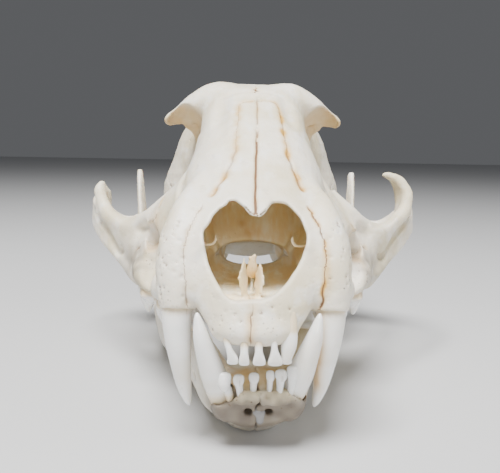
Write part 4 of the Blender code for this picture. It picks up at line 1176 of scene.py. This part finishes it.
def lower_teeth(enamel, side, word):
    made = []
    for k, (x0, x1, neck, wide, tip) in enumerate(LOWER_INCISORS[word]):
        y = 5.0 + (0.0, -0.2, 0.2)[k]
        tall = (1.0, 1.05, 1.45)[k]
        low = x1 + (x0 - x1) * 0.45
        stations = [(x0, y + 2.0, 9.6, neck * 0.8, 0.9), (x0, y + 0.9, 11.0, neck, 1.0),
            (low, y + 0.3, 12.8, neck * 1.05, 0.95),
            (x1 + (x0 - x1) * 0.15, y, tip - 2.1 * tall + 0.4, wide * 0.76, 1.05),
            (x1, y - 0.1, tip - 1.25 * tall, wide * 0.98, 1.15),
            (x1, y - 0.05, tip - 0.65, wide, 0.95), (x1, y + 0.1, tip - 0.2, wide * 0.8, 0.6),
            (x1, y + 0.15, tip, wide * 0.4, 0.25)]
        made.append(grown(stations, enamel, "lower_incisor_%s_%d" % (word, k), into_root(12.6, 10.4),
            place=jaw_place))
    made.append(grown(mirrored(LOWER_CANINE, side), enamel, "lower_canine_" + word, into_root(13.2, 9.0),
        square=2.15, place=jaw_place))
    third = blade_lumps((side * 11.4, 27.4), (side * 13.6, 35.6), JAW_ROW_Z - 1.0, 1,
        ((0.1, 1.9, 0.9), (0.46, 4.6, 2.0), (0.8, 2.4, 1.2)), 1.5)
    fourth = blade_lumps((side * 14.2, 37.0), (side * 16.6, 46.4), JAW_ROW_Z - 0.4, 1,
        ((0.1, 2.2, 1.0), (0.44, 5.0, 2.2), (0.76, 3.0, 1.2), (0.93, 2.0, 0.8)), 1.5)
    blade = blade_lumps((side * 17.3, 47.8), (side * 20.0, 58.6), JAW_ROW_Z, 1,
        ((0.27, 4.9, 2.5), (0.74, 5.8, 2.6)), 1.45)
    for label, lumps in (("third", third), ("fourth", fourth), ("blade", blade)):
        made.append(cusped("lower_%s_%s" % (label, word), enamel, lumps, place=jaw_place,
            root=into_root(18.6, 17.0)))
    return made


def build_jaw(side, word, bone, enamel):
    field = jaw_field(side)
    ends = field.first + field.values.shape
    x, y, z = np.ix_(*(np.arange(a, b) * field.voxel for a, b in zip(field.first, ends)))
    jagged = 0.12 * np.sin(1.9 * z + 1.3 * y) + 0.08 * np.sin(3.7 * z - 2.1 * y + 1)
    for plane in (JAW_GAP / 2 - side * (x - jagged), -z):
        field.values = np.maximum(field.values,
            np.broadcast_to(plane, field.values.shape).astype(np.float32))
    skin = Skin(field)
    bone_texture(skin, field, 0.07)
    p = skin.points
    # The bone is broken and porous along the incisors' roots.
    ragged = np.exp(-((p[:, 2] - 11.2) / 1.2) ** 2)
    ragged = ragged * smoothstep(12, 8, p[:, 1]) * smoothstep(10, 7.5, np.abs(p[:, 0]))
    skin.lift += ragged * (0.6 * noise(p, 0.9, 30) + 0.6 * noise(p, 2.1, 31))
    # Painted shade in the pits of the broken margin.
    skin.hollow = np.maximum(skin.hollow, ragged * 0.6 * smoothstep(0.0, 0.6, noise(p, 0.8, 33)))
    skin.lift[p[:, 2] < 0.3] = 0
    skin.settle()
    # Painted shade, in amber, on the bone just behind the lower incisors.
    skin.patch((side * 3.0, 9.0, 14.2), (6.0, 5.0, 2.6), 0.8, 12)
    # Painted shade over the chin, which faces down and forward, away from the lamp above.
    chin = smoothstep(13.4, 9.4, p[:, 2] + 0.5 * noise(p, 1.5, 34)) * smoothstep(17, 8, p[:, 1])
    skin.dull = chin * (0.95 + 0.15 * noise(p, 2.0, 35))
    porous(skin, (side * 4.0, 5.0, 10.5), (6.0, 3.0, 2.2), 0.7)
    skin.patch((side * 24, 84, 22), (6, 8, 10), 0.25, 13)
    skin.points = jaw_place(skin.points)
    piece = skin.piece("lower_jaw_bone_" + word, bone)
    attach(piece, "root")
    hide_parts("lower_jaw_" + word)
    return lower_teeth(enamel, side, word)


def main():
    bone = bone_shader()
    enamel = tooth_shader()
    field, hollows = cranium_field()
    skin = Skin(field)
    bone_texture(skin, field)
    skin.settle()
    cranium_marks(skin, hollows)
    skin.settle()
    cranium = skin.piece("cranium_bone", bone)
    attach(cranium, "root")
    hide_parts("braincase", "face", "cheek_arch_left", "cheek_arch_right")
    teeth = upper_teeth(enamel)
    for side, word in ((1, "left"), (-1, "right")):
        teeth += build_jaw(side, word, bone, enamel)
    for tooth in teeth:
        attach(tooth, "root")
    glue = cusped("glue_on_chin", plain_shader("dried_glue", GLUE_GREY, 0.22), GLUE, place=jaw_place)
    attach(glue, "root")
    studio()


def area_light(name, place, target, size, watts):
    data = bpy.data.lights.new(name, "AREA")
    data.shape = "RECTANGLE"
    data.size, data.size_y = size
    data.energy = watts
    obj = linked(name, data)
    obj.location = place
    obj.rotation_mode = "QUATERNION"
    obj.rotation_quaternion = (Vector(target) - Vector(place)).to_track_quat("-Z", "Y")


def studio():
    mesh = bpy.data.meshes.new("floor")
    corners = [(x * FLOOR_HALF, y * FLOOR_HALF, 0) for x, y in ((-1, -1), (1, -1), (1, 1), (-1, 1))]
    mesh.from_pydata(corners, [], [(0, 1, 2, 3)])
    floor = linked("floor", mesh)
    mesh.materials.append(plain_shader("floor", FLOOR_GREY, 0.6))
    world = bpy.data.worlds.new("studio")
    world.use_nodes = True
    background = world.node_tree.nodes["Background"]
    background.inputs["Color"].default_value = SKY
    background.inputs["Strength"].default_value = SKY_STRENGTH
    bpy.context.scene.world = world
    area_light("over", (-0.10, -0.26, 0.68), SUBJECT, (0.36, 0.26), 15.5)
    area_light("front", (0.03, -0.8, 0.27), (0, -0.05, 0.03), (0.2, 0.2), 2.0)
    area_light("side", (0.6, -0.2, 0.35), SUBJECT, (0.3, 0.4), 1.5)
    camera_in_place()


def camera_in_place():
    right, up, forward = view_axes()
    data = bpy.data.cameras.new("camera")
    data.sensor_width = SENSOR
    data.lens = SENSOR * FOCAL_PX / FRAME_PX[0]
    data.shift_x = (FRAME_PX[0] / 2 - MIDDLE_PX[0]) / FRAME_PX[0]
    data.shift_y = (MIDDLE_PX[1] - FRAME_PX[1] / 2) / FRAME_PX[0]
    data.clip_start = 0.01
    obj = linked("camera", data)
    place = (np.array(CAMERA) + SHIFT) * MM
    obj.matrix_world = Matrix([[*column] for column in zip(right, up, -forward, place)] + [[0, 0, 0, 1]])
    bpy.context.scene.camera = obj


main()
